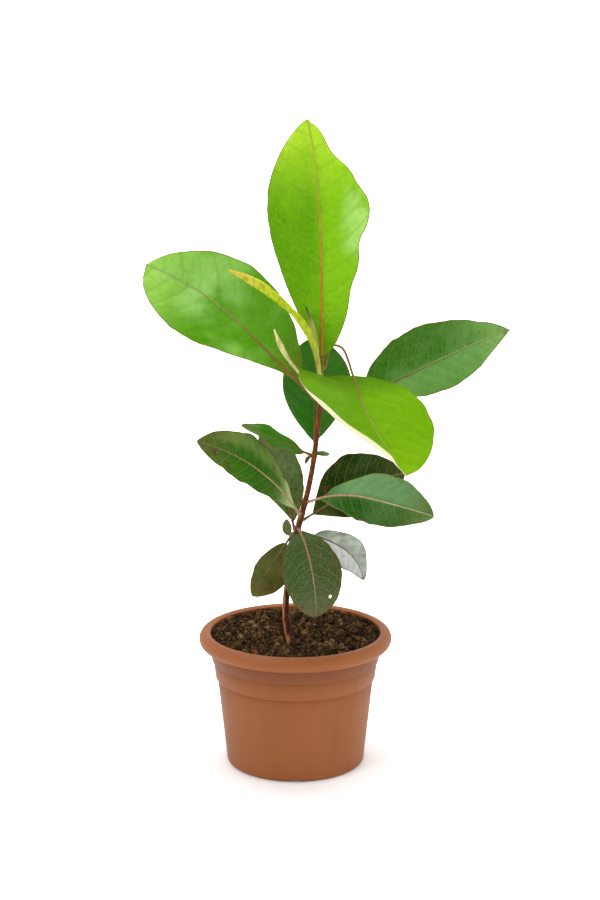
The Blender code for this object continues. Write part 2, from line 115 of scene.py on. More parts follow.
# ---------------------------------------------------------------- colours, 0 to 255 each
MARGIN_BROWN = (118, 84, 34)
SPOT_BROWN = (92, 48, 36)
CREAM_UNDERSIDE = (250, 248, 206)
FLECK_SHADE = (206, 206, 196)
# painted shade beside the side veins of a leaf
VALLEY_PAINTED_SHADE = (222, 222, 214)
RIB_GRAIN = (96, 60, 34)

POT_DEEP = (144, 80, 34)
POT_PLAIN = (154, 89, 40)
POT_STREAK = (130, 69, 30)
# painted shade for the neck and band under the rim
POT_PAINTED_SHADE = (110, 53, 24)
# painted highlight laid on the lower part of the rim's roll
POT_ROLL_PAINTED_HIGHLIGHT = (168, 98, 50)
SOIL_DUST = (78, 50, 30)

BARK_FOOT = (64, 24, 8)
BARK_LOW = (62, 24, 2)
BARK_HIGH = (100, 46, 8)
BARK_TIP = (116, 124, 16)
# pale stripes of the bark, also the painted highlight on its left flank
BARK_STRIPE_AND_HIGHLIGHT_LOW = (214, 138, 84)
BARK_STRIPE_AND_HIGHLIGHT_HIGH = (168, 94, 36)
BARK_CRACK = (52, 20, 8)
BARK_SCAR = (92, 74, 40)
BARK_DOT = (196, 160, 126)

PEAT_BLACK = (16, 10, 4)
PEAT_GRIT = (22, 13, 5)
SOIL_TONES = [
    (0.0, 0.3, (70, 46, 18)),
    (0.3, 0.75, (116, 82, 40)),
    (0.84, 0.96, (156, 118, 74)),
    (0.985, 0.99, (150, 78, 14)),
]

# ---------------------------------------------------------------- studio
PAPER_GLOW = 0.24
PAPER_FLAT = 4200.0
PAPER_BEND = 1800.0
PAPER_TOP = 5000.0
PAPER_SIDES = 96
ROOM_LIGHT = 0.24
CAMERA_PLACE = (0.0048, -2.0, 0.7858)
CAMERA_TILT = 12.7
CAMERA_LENS = 79.74
CAMERA_SENSOR = 36.0
LIGHTS = [                  # name, place, target, width, height, watts
    ("key_left", (-1.2, -1.2, 1.8), (0.0, 0.0, 0.3), 0.7, 0.9, 11.5),
    ("fill_right", (1.7, -0.5, 0.9), (0.0, 0.0, 0.3), 0.8, 1.6, 4.2),
    ("top_soft", (0.0, 0.1, 2.2), (0.0, 0.0, 0.3), 1.6, 1.2, 5.8),
    ("wall_wash", (0.0, 0.6, 2.6), (0.0, 2.2, 0.6), 3.0, 1.0, 62.0),
]


@dataclass
class Leaf:
    """A leaf: its course and outline as in the solid part, then how its surface and colours go."""

    name: str
    slot: str
    height: float
    petiole: float
    blade: float
    left: tuple
    right: tuple
    heading: tuple
    lift: tuple
    roll: tuple
    left_green: tuple
    right_green: tuple
    base_green: tuple
    tip_green: tuple
    cloud_green: tuple
    vein: tuple
    rib_near: tuple
    rib_far: tuple
    stations: tuple = (0.0, 0.5, 1.0)
    fold: float = 6.0
    bend: float = 0.0
    dents: tuple = ()
    spacing: float = 14.0   # between side veins
    vein_sweep: float = 0.5
    quilt: tuple = (0.7, 0.7)   # how far each half swells between side veins
    ripple: float = 1.0     # waves of the margin
    wear: float = 0.012     # unevenness of the outline, as a share of the width
    clouds: float = 0.5
    flecks: float = 0.3
    spots: float = 0.0
    roughness: float = 0.38
    shine: float = 0.18
    net: float = 0.25       # strength of the fine net between the side veins
    split: float = 0.0      # where across the blade its two greens meet
    valley: float = 0.4     # strength of the painted shade beside each side vein
    sheen_tint: tuple = (0.8, 1.0, 0.45)
    curl: float = 0.0       # width of the right margin that curls up
    painted_highlight: tuple = ()       # a pale patch of painted highlight: along, across, its reach both ways, strength
    painted_highlight_green: tuple = (0, 0, 0)
    hole: tuple = ()
    columns: int = 18


LEAVES = [
    Leaf("leaf_top", "leaf_bright_green", 296.0, 2.0, 239.0,
         left=(53.0, 0.61, 0.60, 0.80), right=(51.0, 0.62, 0.40, 0.85),
         heading=(90.0, 90.0, 90.0), lift=(78.0, 83.0, 88.0), roll=(0.0, 0.0, 0.0),
         # The right half's lighter green is painted light, where that half catches the light and the left
         # half lies in shade.
         left_green=(98, 160, 0), right_green=(134, 196, 12), base_green=(104, 158, 0),
         tip_green=(186, 228, 50), cloud_green=(136, 196, 8), vein=(160, 204, 60),
         rib_near=(214, 122, 36), rib_far=(186, 176, 64), fold=4.0, bend=15.0,
         dents=((-1, 0.86, 14.0, 0.08), (-1, 0.74, 6.0, 0.05), (-1, 0.48, 8.5, 0.075),
                (-1, 0.30, 5.5, 0.09)),
         # its pale patch is a painted highlight
         painted_highlight=(0.58, -0.95, 0.22, 0.62, 0.8), painted_highlight_green=(190, 236, 130),
         spacing=21.0, quilt=(1.0, 2.2), ripple=1.5, roughness=0.36, net=0.22, valley=0.3, columns=22),
    Leaf("leaf_upper_left", "leaf_mid_green", 254.0, 26.0, 199.0,
         left=(49.0, 0.68, 0.85, 0.42), right=(53.0, 0.50, 0.60, 0.8),
         heading=(-158.0, -173.0, -186.0), lift=(46.0, 46.0, 20.0), roll=(-66.0, -66.0, -66.0),
         left_green=(84, 150, 0), right_green=(88, 152, 18), base_green=(92, 118, 4),
         tip_green=(156, 206, 84), cloud_green=(146, 202, 92), vein=(146, 188, 90),
         rib_near=(138, 92, 40), rib_far=(150, 176, 92),
         # its pale patch is a painted highlight
         painted_highlight=(0.72, -0.1, 0.34, 0.9, 0.8), painted_highlight_green=(160, 212, 116),
         spacing=20.0, quilt=(0.8, 0.8), clouds=0.7, roughness=0.4, net=0.15, valley=0.35, columns=22),
    Leaf("leaf_upper_front", "leaf_bright_green", 287.0, 68.0, 144.0,
         left=(65.0, 0.55, 0.25, 0.4), right=(71.0, 0.32, 0.26, 1.2),
         heading=(36.0, 60.0, 30.0, -20.0, -50.0, -84.0, -66.0, -42.0),
         lift=(72.0, 70.0, 0.0, -66.0, -66.0, -21.0, -34.0, -42.0), roll=(-10.0, -10.0, -10.0),
         left_green=(112, 166, 0), right_green=(98, 150, 0), base_green=(78, 124, 0),
         tip_green=(126, 178, 0), cloud_green=(118, 170, 8), vein=(140, 178, 50),
         rib_near=(142, 104, 44), rib_far=(150, 168, 60),
         stations=(0.0, 0.08, 0.13, 0.20, 0.28, 0.40, 0.66, 1.0), fold=12.0,
         spacing=19.0, quilt=(0.6, 0.6), ripple=0.6, wear=0.005, roughness=0.55, shine=0.06, net=0.2,
         curl=10.0, columns=26),
    Leaf("leaf_upper_right", "leaf_dark_green", 244.0, 50.0, 166.0,
         left=(43.0, 0.45, 0.65, 0.8), right=(36.0, 0.50, 0.90, 1.1),
         heading=(22.0, 15.0, 8.0), lift=(13.0, 24.0, 19.0), roll=(50.0, 50.0, 50.0),
         left_green=(50, 100, 8), right_green=(84, 134, 52), base_green=(44, 98, 4),
         tip_green=(122, 164, 84), cloud_green=(98, 142, 74), vein=(126, 158, 92),
         rib_near=(104, 92, 40), rib_far=(136, 160, 92),
         spacing=16.0, quilt=(0.35, 0.35), wear=0.025, clouds=0.6, spots=0.05, roughness=0.4,
         valley=0.5),
    Leaf("leaf_upper_back", "leaf_dark_green", 200.0, 12.0, 110.0,
         left=(33.0, 0.58, 0.70, 0.6), right=(38.0, 0.58, 0.70, 0.6),
         heading=(91.0, 90.0, 90.0), lift=(40.0, 80.0, 90.0), roll=(0.0, 0.0, 0.0),
         left_green=(46, 110, 20), right_green=(54, 112, 24), base_green=(40, 98, 10),
         tip_green=(64, 122, 34), cloud_green=(70, 122, 54), vein=(86, 132, 70),
         rib_near=(92, 96, 40), rib_far=(90, 128, 60),
         spacing=15.0, quilt=(1.0, 1.0), wear=0.008, roughness=0.3),
    Leaf("leaf_middle_left_front", "leaf_mid_green", 137.0, 8.0, 140.0,
         left=(25.0, 0.55, 0.60, 0.7), right=(28.0, 0.55, 0.80, 0.7),
         heading=(-134.0, -150.0, -172.0), lift=(53.0, 39.0, 17.0), roll=(-60.0, -60.0, -60.0),
         left_green=(40, 106, 0), right_green=(118, 148, 68), base_green=(220, 234, 180),
         tip_green=(90, 96, 38), cloud_green=(84, 128, 36), vein=(148, 156, 110),
         rib_near=(188, 150, 112), rib_far=(130, 126, 78),
         spacing=12.0, wear=0.055, clouds=0.3, spots=0.30, roughness=0.42, shine=0.05, split=-0.45),
    Leaf("leaf_middle_left_back", "leaf_blue_green", 118.0, 8.0, 98.0,
         left=(22.0, 0.55, 1.00, 0.8), right=(24.0, 0.50, 0.80, 0.7),
         heading=(123.0, 135.0, 155.0), lift=(66.0, 66.0, 50.0), roll=(-45.0, -45.0, -45.0),
         left_green=(72, 96, 32), right_green=(76, 98, 46), base_green=(80, 96, 30),
         tip_green=(112, 104, 72), cloud_green=(112, 126, 92), vein=(132, 144, 104),
         rib_near=(128, 92, 50), rib_far=(124, 112, 70),
         spacing=11.0, ripple=1.2, wear=0.045, clouds=0.7, spots=0.42, roughness=0.4, net=0.4),
    Leaf("leaf_middle_left_small", "leaf_dark_green", 198.0, 8.0, 81.0,
         left=(18.0, 0.50, 0.80, 0.9), right=(18.0, 0.50, 0.80, 0.9),
         heading=(-150.0, -150.0, -153.0), lift=(26.0, 27.0, 26.0), roll=(-28.0, -28.0, -28.0),
         left_green=(50, 116, 0), right_green=(54, 120, 0), base_green=(70, 104, 26),
         tip_green=(104, 136, 66), cloud_green=(84, 142, 36), vein=(120, 150, 84),
         rib_near=(128, 78, 46), rib_far=(110, 132, 60),
         spacing=11.0, quilt=(0.5, 0.5), ripple=1.2, wear=0.050, spots=0.10, roughness=0.4, shine=0.05,
         columns=14),
    Leaf("leaf_middle_right_back", "leaf_olive", 129.0, 12.0, 112.0,
         left=(37.0, 0.52, 0.95, 0.6), right=(32.0, 0.55, 0.80, 0.7),
         heading=(34.0, 24.0, 14.0), lift=(22.0, 22.0, 6.0), roll=(50.0, 50.0, 50.0),
         left_green=(12, 40, 0), right_green=(12, 36, 0), base_green=(50, 80, 16),
         tip_green=(60, 64, 30), cloud_green=(76, 90, 50), vein=(110, 120, 72),
         rib_near=(120, 88, 52), rib_far=(112, 112, 66),
         spacing=12.0, wear=0.045, spots=0.45, roughness=0.42, shine=0.05),
    Leaf("leaf_middle_right_front", "leaf_blue_green", 149.0, 12.0, 126.0,
         left=(31.0, 0.58, 1.00, 0.75), right=(31.0, 0.55, 0.80, 0.8),
         heading=(-27.0, -22.0, -16.0), lift=(26.0, -8.0, -14.0), roll=(45.0, 45.0, 45.0),
         left_green=(112, 156, 106), right_green=(28, 84, 0), base_green=(66, 112, 48),
         tip_green=(96, 122, 60), cloud_green=(96, 138, 84), vein=(136, 158, 110),
         rib_near=(196, 152, 120), rib_far=(196, 184, 146),
         spacing=12.0, quilt=(1.0, 1.0), ripple=1.2, wear=0.050, clouds=0.45, spots=0.15, shine=0.1),
    Leaf("leaf_lower_front", "leaf_blue_green", 121.0, 8.0, 94.0,
         left=(31.0, 0.55, 0.50, 0.55), right=(32.0, 0.55, 0.50, 0.55),
         heading=(-77.0, -62.0, -42.0), lift=(-10.0, -68.0, -92.0), roll=(0.0, 10.0, 20.0),
         left_green=(62, 74, 28), right_green=(60, 78, 32), base_green=(68, 96, 44),
         tip_green=(96, 88, 62), cloud_green=(80, 92, 62), vein=(124, 144, 104),
         rib_near=(164, 120, 96), rib_far=(146, 134, 112),
         spacing=11.0, quilt=(0.8, 0.8), ripple=0.9, wear=0.040, spots=0.25, roughness=0.45, net=0.5,
         hole=(0.80, 0.62, 1.7), columns=22),
    Leaf("leaf_lower_right", "leaf_silver_green", 117.0, 14.0, 74.0,
         left=(19.0, 0.50, 0.60, 0.8), right=(22.0, 0.50, 0.60, 0.8),
         heading=(0.0, 0.0, -10.0), lift=(-12.0, -30.0, -82.0), roll=(30.0, 40.0, 40.0),
         # Its near-white greys on the right half, the tip and the clouds are painted sheen.
         left_green=(112, 122, 100), right_green=(208, 210, 212), base_green=(60, 84, 48),
         tip_green=(190, 192, 192), cloud_green=(232, 234, 236), vein=(178, 180, 172),
         rib_near=(120, 96, 70), rib_far=(140, 126, 118),
         spacing=10.0, quilt=(1.0, 1.0), ripple=1.4, wear=0.090, clouds=0.8, spots=0.15, roughness=0.3,
         shine=0.5, sheen_tint=(1.0, 1.0, 1.0), net=0.4, columns=16),
    Leaf("leaf_lower_left", "leaf_olive", 116.0, 12.0, 65.0,
         left=(22.0, 0.50, 0.60, 0.65), right=(14.0, 0.50, 0.60, 0.65),
         heading=(-151.0, -160.0, -168.0), lift=(-50.0, -54.0, -60.0), roll=(-70.0, -70.0, -70.0),
         left_green=(58, 50, 0), right_green=(82, 88, 40), base_green=(76, 82, 44),
         tip_green=(104, 92, 40), cloud_green=(124, 118, 60), vein=(112, 116, 66),
         rib_near=(120, 104, 72), rib_far=(104, 104, 60),
         spacing=10.0, quilt=(0.6, 0.6), ripple=0.8, wear=0.080, spots=0.40, roughness=0.42, net=0.4,
         columns=16),
    Leaf("leaf_lower_back_tiny", "leaf_silver_green", 113.0, 1.5, 19.0,
         left=(5.0, 0.50, 0.70, 0.6), right=(5.0, 0.50, 0.70, 0.6),
         heading=(150.0, 150.0, 150.0), lift=(0.0, 80.0, 100.0), roll=(-60.0, -60.0, -60.0),
         left_green=(112, 118, 84), right_green=(100, 108, 72), base_green=(120, 120, 86),
         tip_green=(110, 112, 80), cloud_green=(136, 140, 112), vein=(140, 140, 110),
         rib_near=(130, 110, 84), rib_far=(120, 112, 84),
         spacing=6.0, quilt=(0.2, 0.2), ripple=0.3, wear=0.02, spots=0.2, columns=8),
]


@dataclass
class Shoot:
    """A round shoot: a bud, a petiole's stub or a leaf that is still rolled up."""

    name: str
    slot: str
    height: float
    length: float
    heading: tuple
    lift: tuple
    radii: tuple
    foot: tuple             # colours along it
    middle: tuple
    tip: tuple
    streak: tuple
    ledge: float = 0.12     # overlap of the rolled blade's edge, as a share of the radius
    turns: float = 0.6      # how far the edge winds along the shoot


SHOOTS = [
    Shoot("young_leaf_rolled", "young_leaf_yellow", 281.0, 159.0,
          heading=(-115.0, -156.0, -168.0), lift=(80.0, 44.0, 23.0),
          radii=(2.2, 2.6, 3.2, 3.9, 4.1, 2.9, 3.8, 4.8, 5.0, 3.2, 0.6),
          foot=(196, 186, 90), middle=(190, 212, 20), tip=(214, 196, 66), streak=(140, 150, 0),
          ledge=0.28, turns=1.3),
    Shoot("bud_pale", "bud_cream", 258.0, 92.0,
          heading=(-118.0, -164.0, -166.0), lift=(44.0, 50.0, 74.0),
          radii=(1.5, 1.5, 1.5, 1.6, 3.0, 0.6),
          foot=(160, 132, 84), middle=(206, 200, 142), tip=(236, 230, 150), streak=(168, 168, 96),
          ledge=0.18, turns=0.3),
    Shoot("bud_dark", "leaf_mid_green", 292.0, 60.0,
          heading=(-178.0, -172.0, -180.0), lift=(89.0, 79.0, 68.0),
          radii=(1.8, 2.4, 3.0, 2.9, 2.1, 0.5),
          foot=(186, 184, 104), middle=(176, 184, 104), tip=(46, 30, 10), streak=(124, 130, 52)),
    Shoot("petiole_stub", "leaf_dark_green", 200.0, 16.0,
          heading=(-45.0, -45.0, -42.0), lift=(10.0, 4.0, 0.0),
          radii=(2.0, 2.2, 2.6, 2.8, 2.4, 1.4),
          foot=(92, 96, 40), middle=(74, 108, 36), tip=(118, 128, 74), streak=(58, 76, 22)),
    Shoot("bud_scale", "leaf_olive", 196.0, 10.0,
          heading=(175.0, 175.0, 175.0), lift=(-20.0, -62.0, -72.0),
          radii=(1.2, 1.8, 2.2, 2.0, 1.4, 0.5),
          foot=(112, 104, 48), middle=(86, 88, 34), tip=(70, 66, 28), streak=(54, 52, 20)),
]


# ---------------------------------------------------------------- small helpers
def to_linear(channel):
    value = channel / 255.0
    return value / 12.92 if value <= 0.04045 else ((value + 0.055) / 1.055) ** 2.4


def tint(colour):
    """A display colour of 0 to 255 as the colour that a shader takes."""
    return (*[to_linear(channel) for channel in colour], 1.0)


def smooth_step(low, high, value):
    share = min(1.0, max(0.0, (value - low) / (high - low)))
    return share * share * (3.0 - 2.0 * share)


def read_along(values, stations, share):
    """Reads a list of values, one to each station, at a share of the length."""
    for i in range(len(stations) - 1):
        if share <= stations[i + 1]:
            local = (share - stations[i]) / (stations[i + 1] - stations[i])
            return values[i] + (values[i + 1] - values[i]) * local
    return values[-1]


def even_stations(values):
    """Shares of the length that stand evenly apart, one for each value."""
    return [i / (len(values) - 1) for i in range(len(values))]


def smooth_course(points, steps):
    """A Catmull-Rom curve through the points."""
    given = [Vector(p) for p in points]
    padded = [2 * given[0] - given[1], *given, 2 * given[-1] - given[-2]]
    course = []
    for i in range(1, len(padded) - 2):
        a, b, c, d = padded[i - 1:i + 3]
        for k in range(steps):
            t = k / steps
            bent = (-a + 3 * b - 3 * c + d) * t ** 3 + (2 * a - 5 * b + 4 * c - d) * t ** 2
            course.append(0.5 * (2 * b + (c - a) * t + bent))
    course.append(given[-1])
    return course


def direction(heading, lift):
    h = math.radians(heading)
    v = math.radians(lift)
    return Vector((math.cos(v) * math.cos(h), math.cos(v) * math.sin(h), math.sin(v)))


def uneven(*place):
    """Smooth noise from -1 to 1 at a place given by up to three numbers."""
    return noise.noise(Vector((*place, 0.0, 0.0)[:3]))


def write_layers(mesh, layers):
    """Writes a number for each point under each name, for the materials to read."""
    for label, values in layers.items():
        mesh.attributes.new(label, "FLOAT", "POINT").data.foreach_set("value", values)


def add_to_scene(name, data):
    obj = bpy.data.objects.new(name, data)
    bpy.context.scene.collection.objects.link(obj)
    return obj


def new_object(name, points, faces, layers=None, material=None, sharp=None, edges=()):
    """A mesh from points in millimetres, with float attributes, smooth unless a sharp angle is met."""
    mesh = bpy.data.meshes.new(name)
    mesh.from_pydata([tuple(c * MM for c in p) for p in points], edges, faces)
    write_layers(mesh, layers or {})
    if faces:
        mesh.shade_smooth()
    if sharp:
        mesh.set_sharp_from_angle(angle=math.radians(sharp))
    if material:
        mesh.materials.append(material)
    return add_to_scene(name, mesh)


def freeze(obj):
    """Replaces an object's mesh with its evaluated one and takes its modifiers off."""
    depsgraph = bpy.context.evaluated_depsgraph_get()
    made = bpy.data.meshes.new_from_object(obj.evaluated_get(depsgraph), depsgraph=depsgraph)
    obj.modifiers.clear()
    obj.data = made
    return obj


def around(radius, k, sides, height):
    """Point k of a level ring round Z."""
    angle = 2.0 * math.pi * k / sides
    return (radius * math.cos(angle), radius * math.sin(angle), height)


def quad(row_start, k, sides):
    """The face from a ring that starts at an index to the next ring, between points k and k + 1."""
    low = row_start
    high = low + sides
    after = (k + 1) % sides
    return (low + k, high + k, high + after, low + after)


def tube(course, radii, sides, shape=None):
    """Points and faces of a closed tube round a course. The shape scales the radius by row and angle."""
    points = []
    rows = len(course)
    side = None
    for i, point in enumerate(course):
        along = (course[min(i + 1, rows - 1)] - course[max(i - 1, 0)]).normalized()
        guide = side if side else Vector((0.31, 0.95, 0.05))
        side = (guide - along * guide.dot(along)).normalized()
        other = along.cross(side)
        for k in range(sides):
            angle = 2.0 * math.pi * k / sides
            radius = radii[i] * (shape(i / (rows - 1), k / sides) if shape else 1.0)
            points.append(point + radius * (side * math.cos(angle) + other * math.sin(angle)))
    last_row = (rows - 1) * sides
    faces = [quad(start, k, sides) for start in range(0, last_row, sides) for k in range(sides)]
    first = len(points)
    points += [course[0], course[-1]]
    for k in range(sides):
        after = (k + 1) % sides
        faces.append((first, after, k))
        faces.append((first + 1, last_row + k, last_row + after))
    return points, faces


# ---------------------------------------------------------------- material and node helpers
class Finish:
    """One procedural material: a single Principled shader and the nodes that feed it."""

    def __init__(self, name, roughness, first_colour):
        self.skin = first_colour
        self.material = bpy.data.materials.new(name)
        self.material.use_nodes = True
        self.tree = self.material.node_tree
        self.shader = self.tree.nodes["Principled BSDF"]
        self.shader.inputs["Roughness"].default_value = roughness
        self.place = self.node("ShaderNodeTexCoord").outputs["Object"]

    def node(self, kind, **settings):
        made = self.tree.nodes.new(kind)
        for key, value in settings.items():
            setattr(made, key, value)
        return made

    def feed(self, value, socket):
        """Links a socket to another one, or sets it to a constant."""
        if isinstance(value, bpy.types.NodeSocket):
            self.tree.links.new(value, socket)
        elif isinstance(value, tuple) and len(value) == 3:
            socket.default_value = tint(value)
        else:
            socket.default_value = value

    def attribute(self, name):
        return self.node("ShaderNodeAttribute", attribute_name=name).outputs["Fac"]

    def noise(self, scale, detail=3.0, place=None, stretch=None):
        made = self.node("ShaderNodeTexNoise")
        self.feed(self.stretched(place or self.place, stretch), made.inputs["Vector"])
        made.inputs["Scale"].default_value = scale
        made.inputs["Detail"].default_value = detail
        return made.outputs["Fac"]

    def cells(self, scale, feature="DISTANCE_TO_EDGE", place=None, stretch=None):
        made = self.node("ShaderNodeTexVoronoi", feature=feature)
        self.feed(self.stretched(place or self.place, stretch), made.inputs["Vector"])
        made.inputs["Scale"].default_value = scale
        return made.outputs["Distance"]

    def stretched(self, place, stretch):
        if not stretch:
            return place
        made = self.node("ShaderNodeMapping")
        self.feed(place, made.inputs["Vector"])
        made.inputs["Scale"].default_value = stretch
        return made.outputs["Vector"]

    def combine(self, x, y, z=0.0):
        made = self.node("ShaderNodeCombineXYZ")
        for value, label in ((x, "X"), (y, "Y"), (z, "Z")):
            self.feed(value, made.inputs[label])
        return made.outputs["Vector"]

    def height(self):
        """Height in the object's own frame, in metres."""
        split = self.node("ShaderNodeSeparateXYZ")
        self.feed(self.place, split.inputs["Vector"])
        return split.outputs["Z"]

    def math(self, operation, first, second=0.0):
        made = self.node("ShaderNodeMath", operation=operation)
        self.feed(first, made.inputs[0])
        self.feed(second, made.inputs[1])
        return made.outputs["Value"]

    def band(self, value, low, high, at_low=0.0, at_high=1.0):
        """Goes smoothly from one result to another as the value goes from low to high."""
        made = self.node("ShaderNodeMapRange", interpolation_type="SMOOTHSTEP")
        given = (value, low, high, at_low, at_high)
        for one, label in zip(given, ("Value", "From Min", "From Max", "To Min", "To Max")):
            self.feed(one, made.inputs[label])
        return made.outputs["Result"]

    def mix(self, share, first, second, way="MIX"):
        made = self.node("ShaderNodeMix", data_type="RGBA", blend_type=way)
        self.feed(share, made.inputs[0])
        self.feed(first, made.inputs[6])
        self.feed(second, made.inputs[7])
        return made.outputs[2]

    def mix_value(self, share, first, second):
        made = self.node("ShaderNodeMix", data_type="FLOAT")
        self.feed(share, made.inputs[0])
        self.feed(first, made.inputs[2])
        self.feed(second, made.inputs[3])
        return made.outputs[0]

    def blend(self, share, colour):
        """Lays a colour over the skin so far."""
        self.skin = self.mix(share, self.skin, colour)

    def layer(self, value, low, high, colour, at_low=0.0, at_high=1.0):
        """Lays a colour over the skin, by a strength that changes as the value goes low to high."""
        self.blend(self.band(value, low, high, at_low, at_high), colour)

    def shaded(self, shade):
        """The skin so far, darkened by a shade."""
        return self.mix(1.0, self.skin, shade, "MULTIPLY")

    def bump(self, height, strength, distance):
        made = self.node("ShaderNodeBump")
        made.inputs["Strength"].default_value = strength
        made.inputs["Distance"].default_value = distance
        self.feed(height, made.inputs["Height"])
        self.feed(made.outputs["Normal"], self.shader.inputs["Normal"])

    def set(self, **constants):
        for label, value in constants.items():
            socket = label.replace("_", " ").title().replace("Ior", "IOR")
            self.shader.inputs[socket].default_value = value

    def done(self, rough, bump, **constants):
        """Links the skin's colour, roughness and bump, and sets the other values of the shader."""
        self.feed(self.skin, self.shader.inputs["Base Color"])
        self.feed(rough, self.shader.inputs["Roughness"])
        self.bump(*bump)
        self.set(**constants)
        return self.material


class Growth:
    """A Geometry Nodes tree that is built here, run once on an object and then made into its mesh."""

    def __init__(self, name):
        self.tree = bpy.data.node_groups.new(name, "GeometryNodeTree")
        self.tree.interface.new_socket("Geometry", in_out="INPUT", socket_type="NodeSocketGeometry")
        self.tree.interface.new_socket("Geometry", in_out="OUTPUT", socket_type="NodeSocketGeometry")
        self.given = self.node("NodeGroupInput")
        self.result = self.node("NodeGroupOutput")
        self.values = {}

    def node(self, kind, inputs=None, **settings):
        made = self.tree.nodes.new(kind)
        for key, value in settings.items():
            setattr(made, key, value)
        for label, value in (inputs or {}).items():
            self.feed(value, made.inputs[label])
        return made

    def feed(self, value, socket):
        if isinstance(value, bpy.types.NodeSocket):
            self.tree.links.new(value, socket)
        else:
            socket.default_value = value

    def knob(self, label, kind, value):
        """A named input of the tree, set on the modifier when the tree is run."""
        socket = self.tree.interface.new_socket(label, in_out="INPUT", socket_type=kind)
        self.values[socket.identifier] = value
        return self.given.outputs[label]

    def read(self, name):
        return self.node("GeometryNodeInputNamedAttribute", {"Name": name}, data_type="FLOAT").outputs[0]

    def store(self, geometry, name, value, domain="POINT"):
        made = self.node("GeometryNodeStoreNamedAttribute", {"Geometry": geometry, "Name": name},
                         data_type="FLOAT", domain=domain)
        self.feed(value, made.inputs["Value"])
        return made.outputs[0]

    def random(self, seed, low=None, high=None):
        """A random number from 0 to 1 for each point, or a random vector between two."""
        if low is None:
            number = self.node("FunctionNodeRandomValue", {"Seed": seed}, data_type="FLOAT")
            return number.outputs[1]
        between = {"Min": low, "Max": high, "Seed": seed}
        return self.node("FunctionNodeRandomValue", between, data_type="FLOAT_VECTOR").outputs[0]

    def moved(self, geometry, label, value):
        """The geometry with its points at a new Position, or shifted by an Offset."""
        return self.node("GeometryNodeSetPosition", {"Geometry": geometry, label: value}).outputs[0]

    def run(self, obj, geometry, material):
        """Ends the tree with realised instances and a material, and turns its result into the mesh."""
        real = self.node("GeometryNodeRealizeInstances", {"Geometry": geometry}).outputs[0]
        coated = self.node("GeometryNodeSetMaterial", {"Geometry": real, "Material": material}).outputs[0]
        self.feed(coated, self.result.inputs[0])
        modifier = obj.modifiers.new("growth", "NODES")
        modifier.node_group = self.tree
        for identifier, value in self.values.items():
            modifier[identifier] = value
        return freeze(obj)


# ---------------------------------------------------------------- pot
RIM_RADIUS = RIM_DIAMETER / 2
ROLL_CENTRE = (RIM_RADIUS - RIM_ROLL_RADIUS, POT_HEIGHT - RIM_ROLL_RADIUS)
NECK_RADIUS = ROLL_CENTRE[0] - 1.6
GROOVE_HEIGHT = POT_HEIGHT - NECK_HEIGHT
STEP_HEIGHT = GROOVE_HEIGHT - BAND_HEIGHT
FOOT_RADIUS = FOOT_DIAMETER / 2
SHOULDER_RADIUS = NECK_RADIUS - 4.0
BAND_TOP_RADIUS = SHOULDER_RADIUS - 1.5
BAND_LOW_RADIUS = BAND_TOP_RADIUS - 1.9
BODY_TOP_RADIUS = BAND_LOW_RADIUS - BAND_STEP


def arc(centre, radius, start, end, steps):
    points = []
    for i in range(steps + 1):
        angle = math.radians(start + (end - start) * i / steps)
        points.append((centre[0] + radius * math.cos(angle), centre[1] + radius * math.sin(angle)))
    return points


def pot_inside():
    """The inner wall from the lip down to the floor, as (radius, height)."""
    return [
        (NECK_RADIUS - WALL, POT_HEIGHT - 2.0),
        (NECK_RADIUS - WALL - 0.3, POT_HEIGHT - 16.0),
        (SHOULDER_RADIUS - WALL, GROOVE_HEIGHT + 1.0),
        (BAND_TOP_RADIUS - WALL, GROOVE_HEIGHT - 2.0),
        (BAND_LOW_RADIUS - WALL, STEP_HEIGHT + 1.0),
        (BODY_TOP_RADIUS - WALL, STEP_HEIGHT - 2.0),
        (FOOT_RADIUS - WALL + 0.4, BASE_THICKNESS + FOOT_ROUND),
        (FOOT_RADIUS - WALL - FOOT_ROUND, BASE_THICKNESS),
    ]


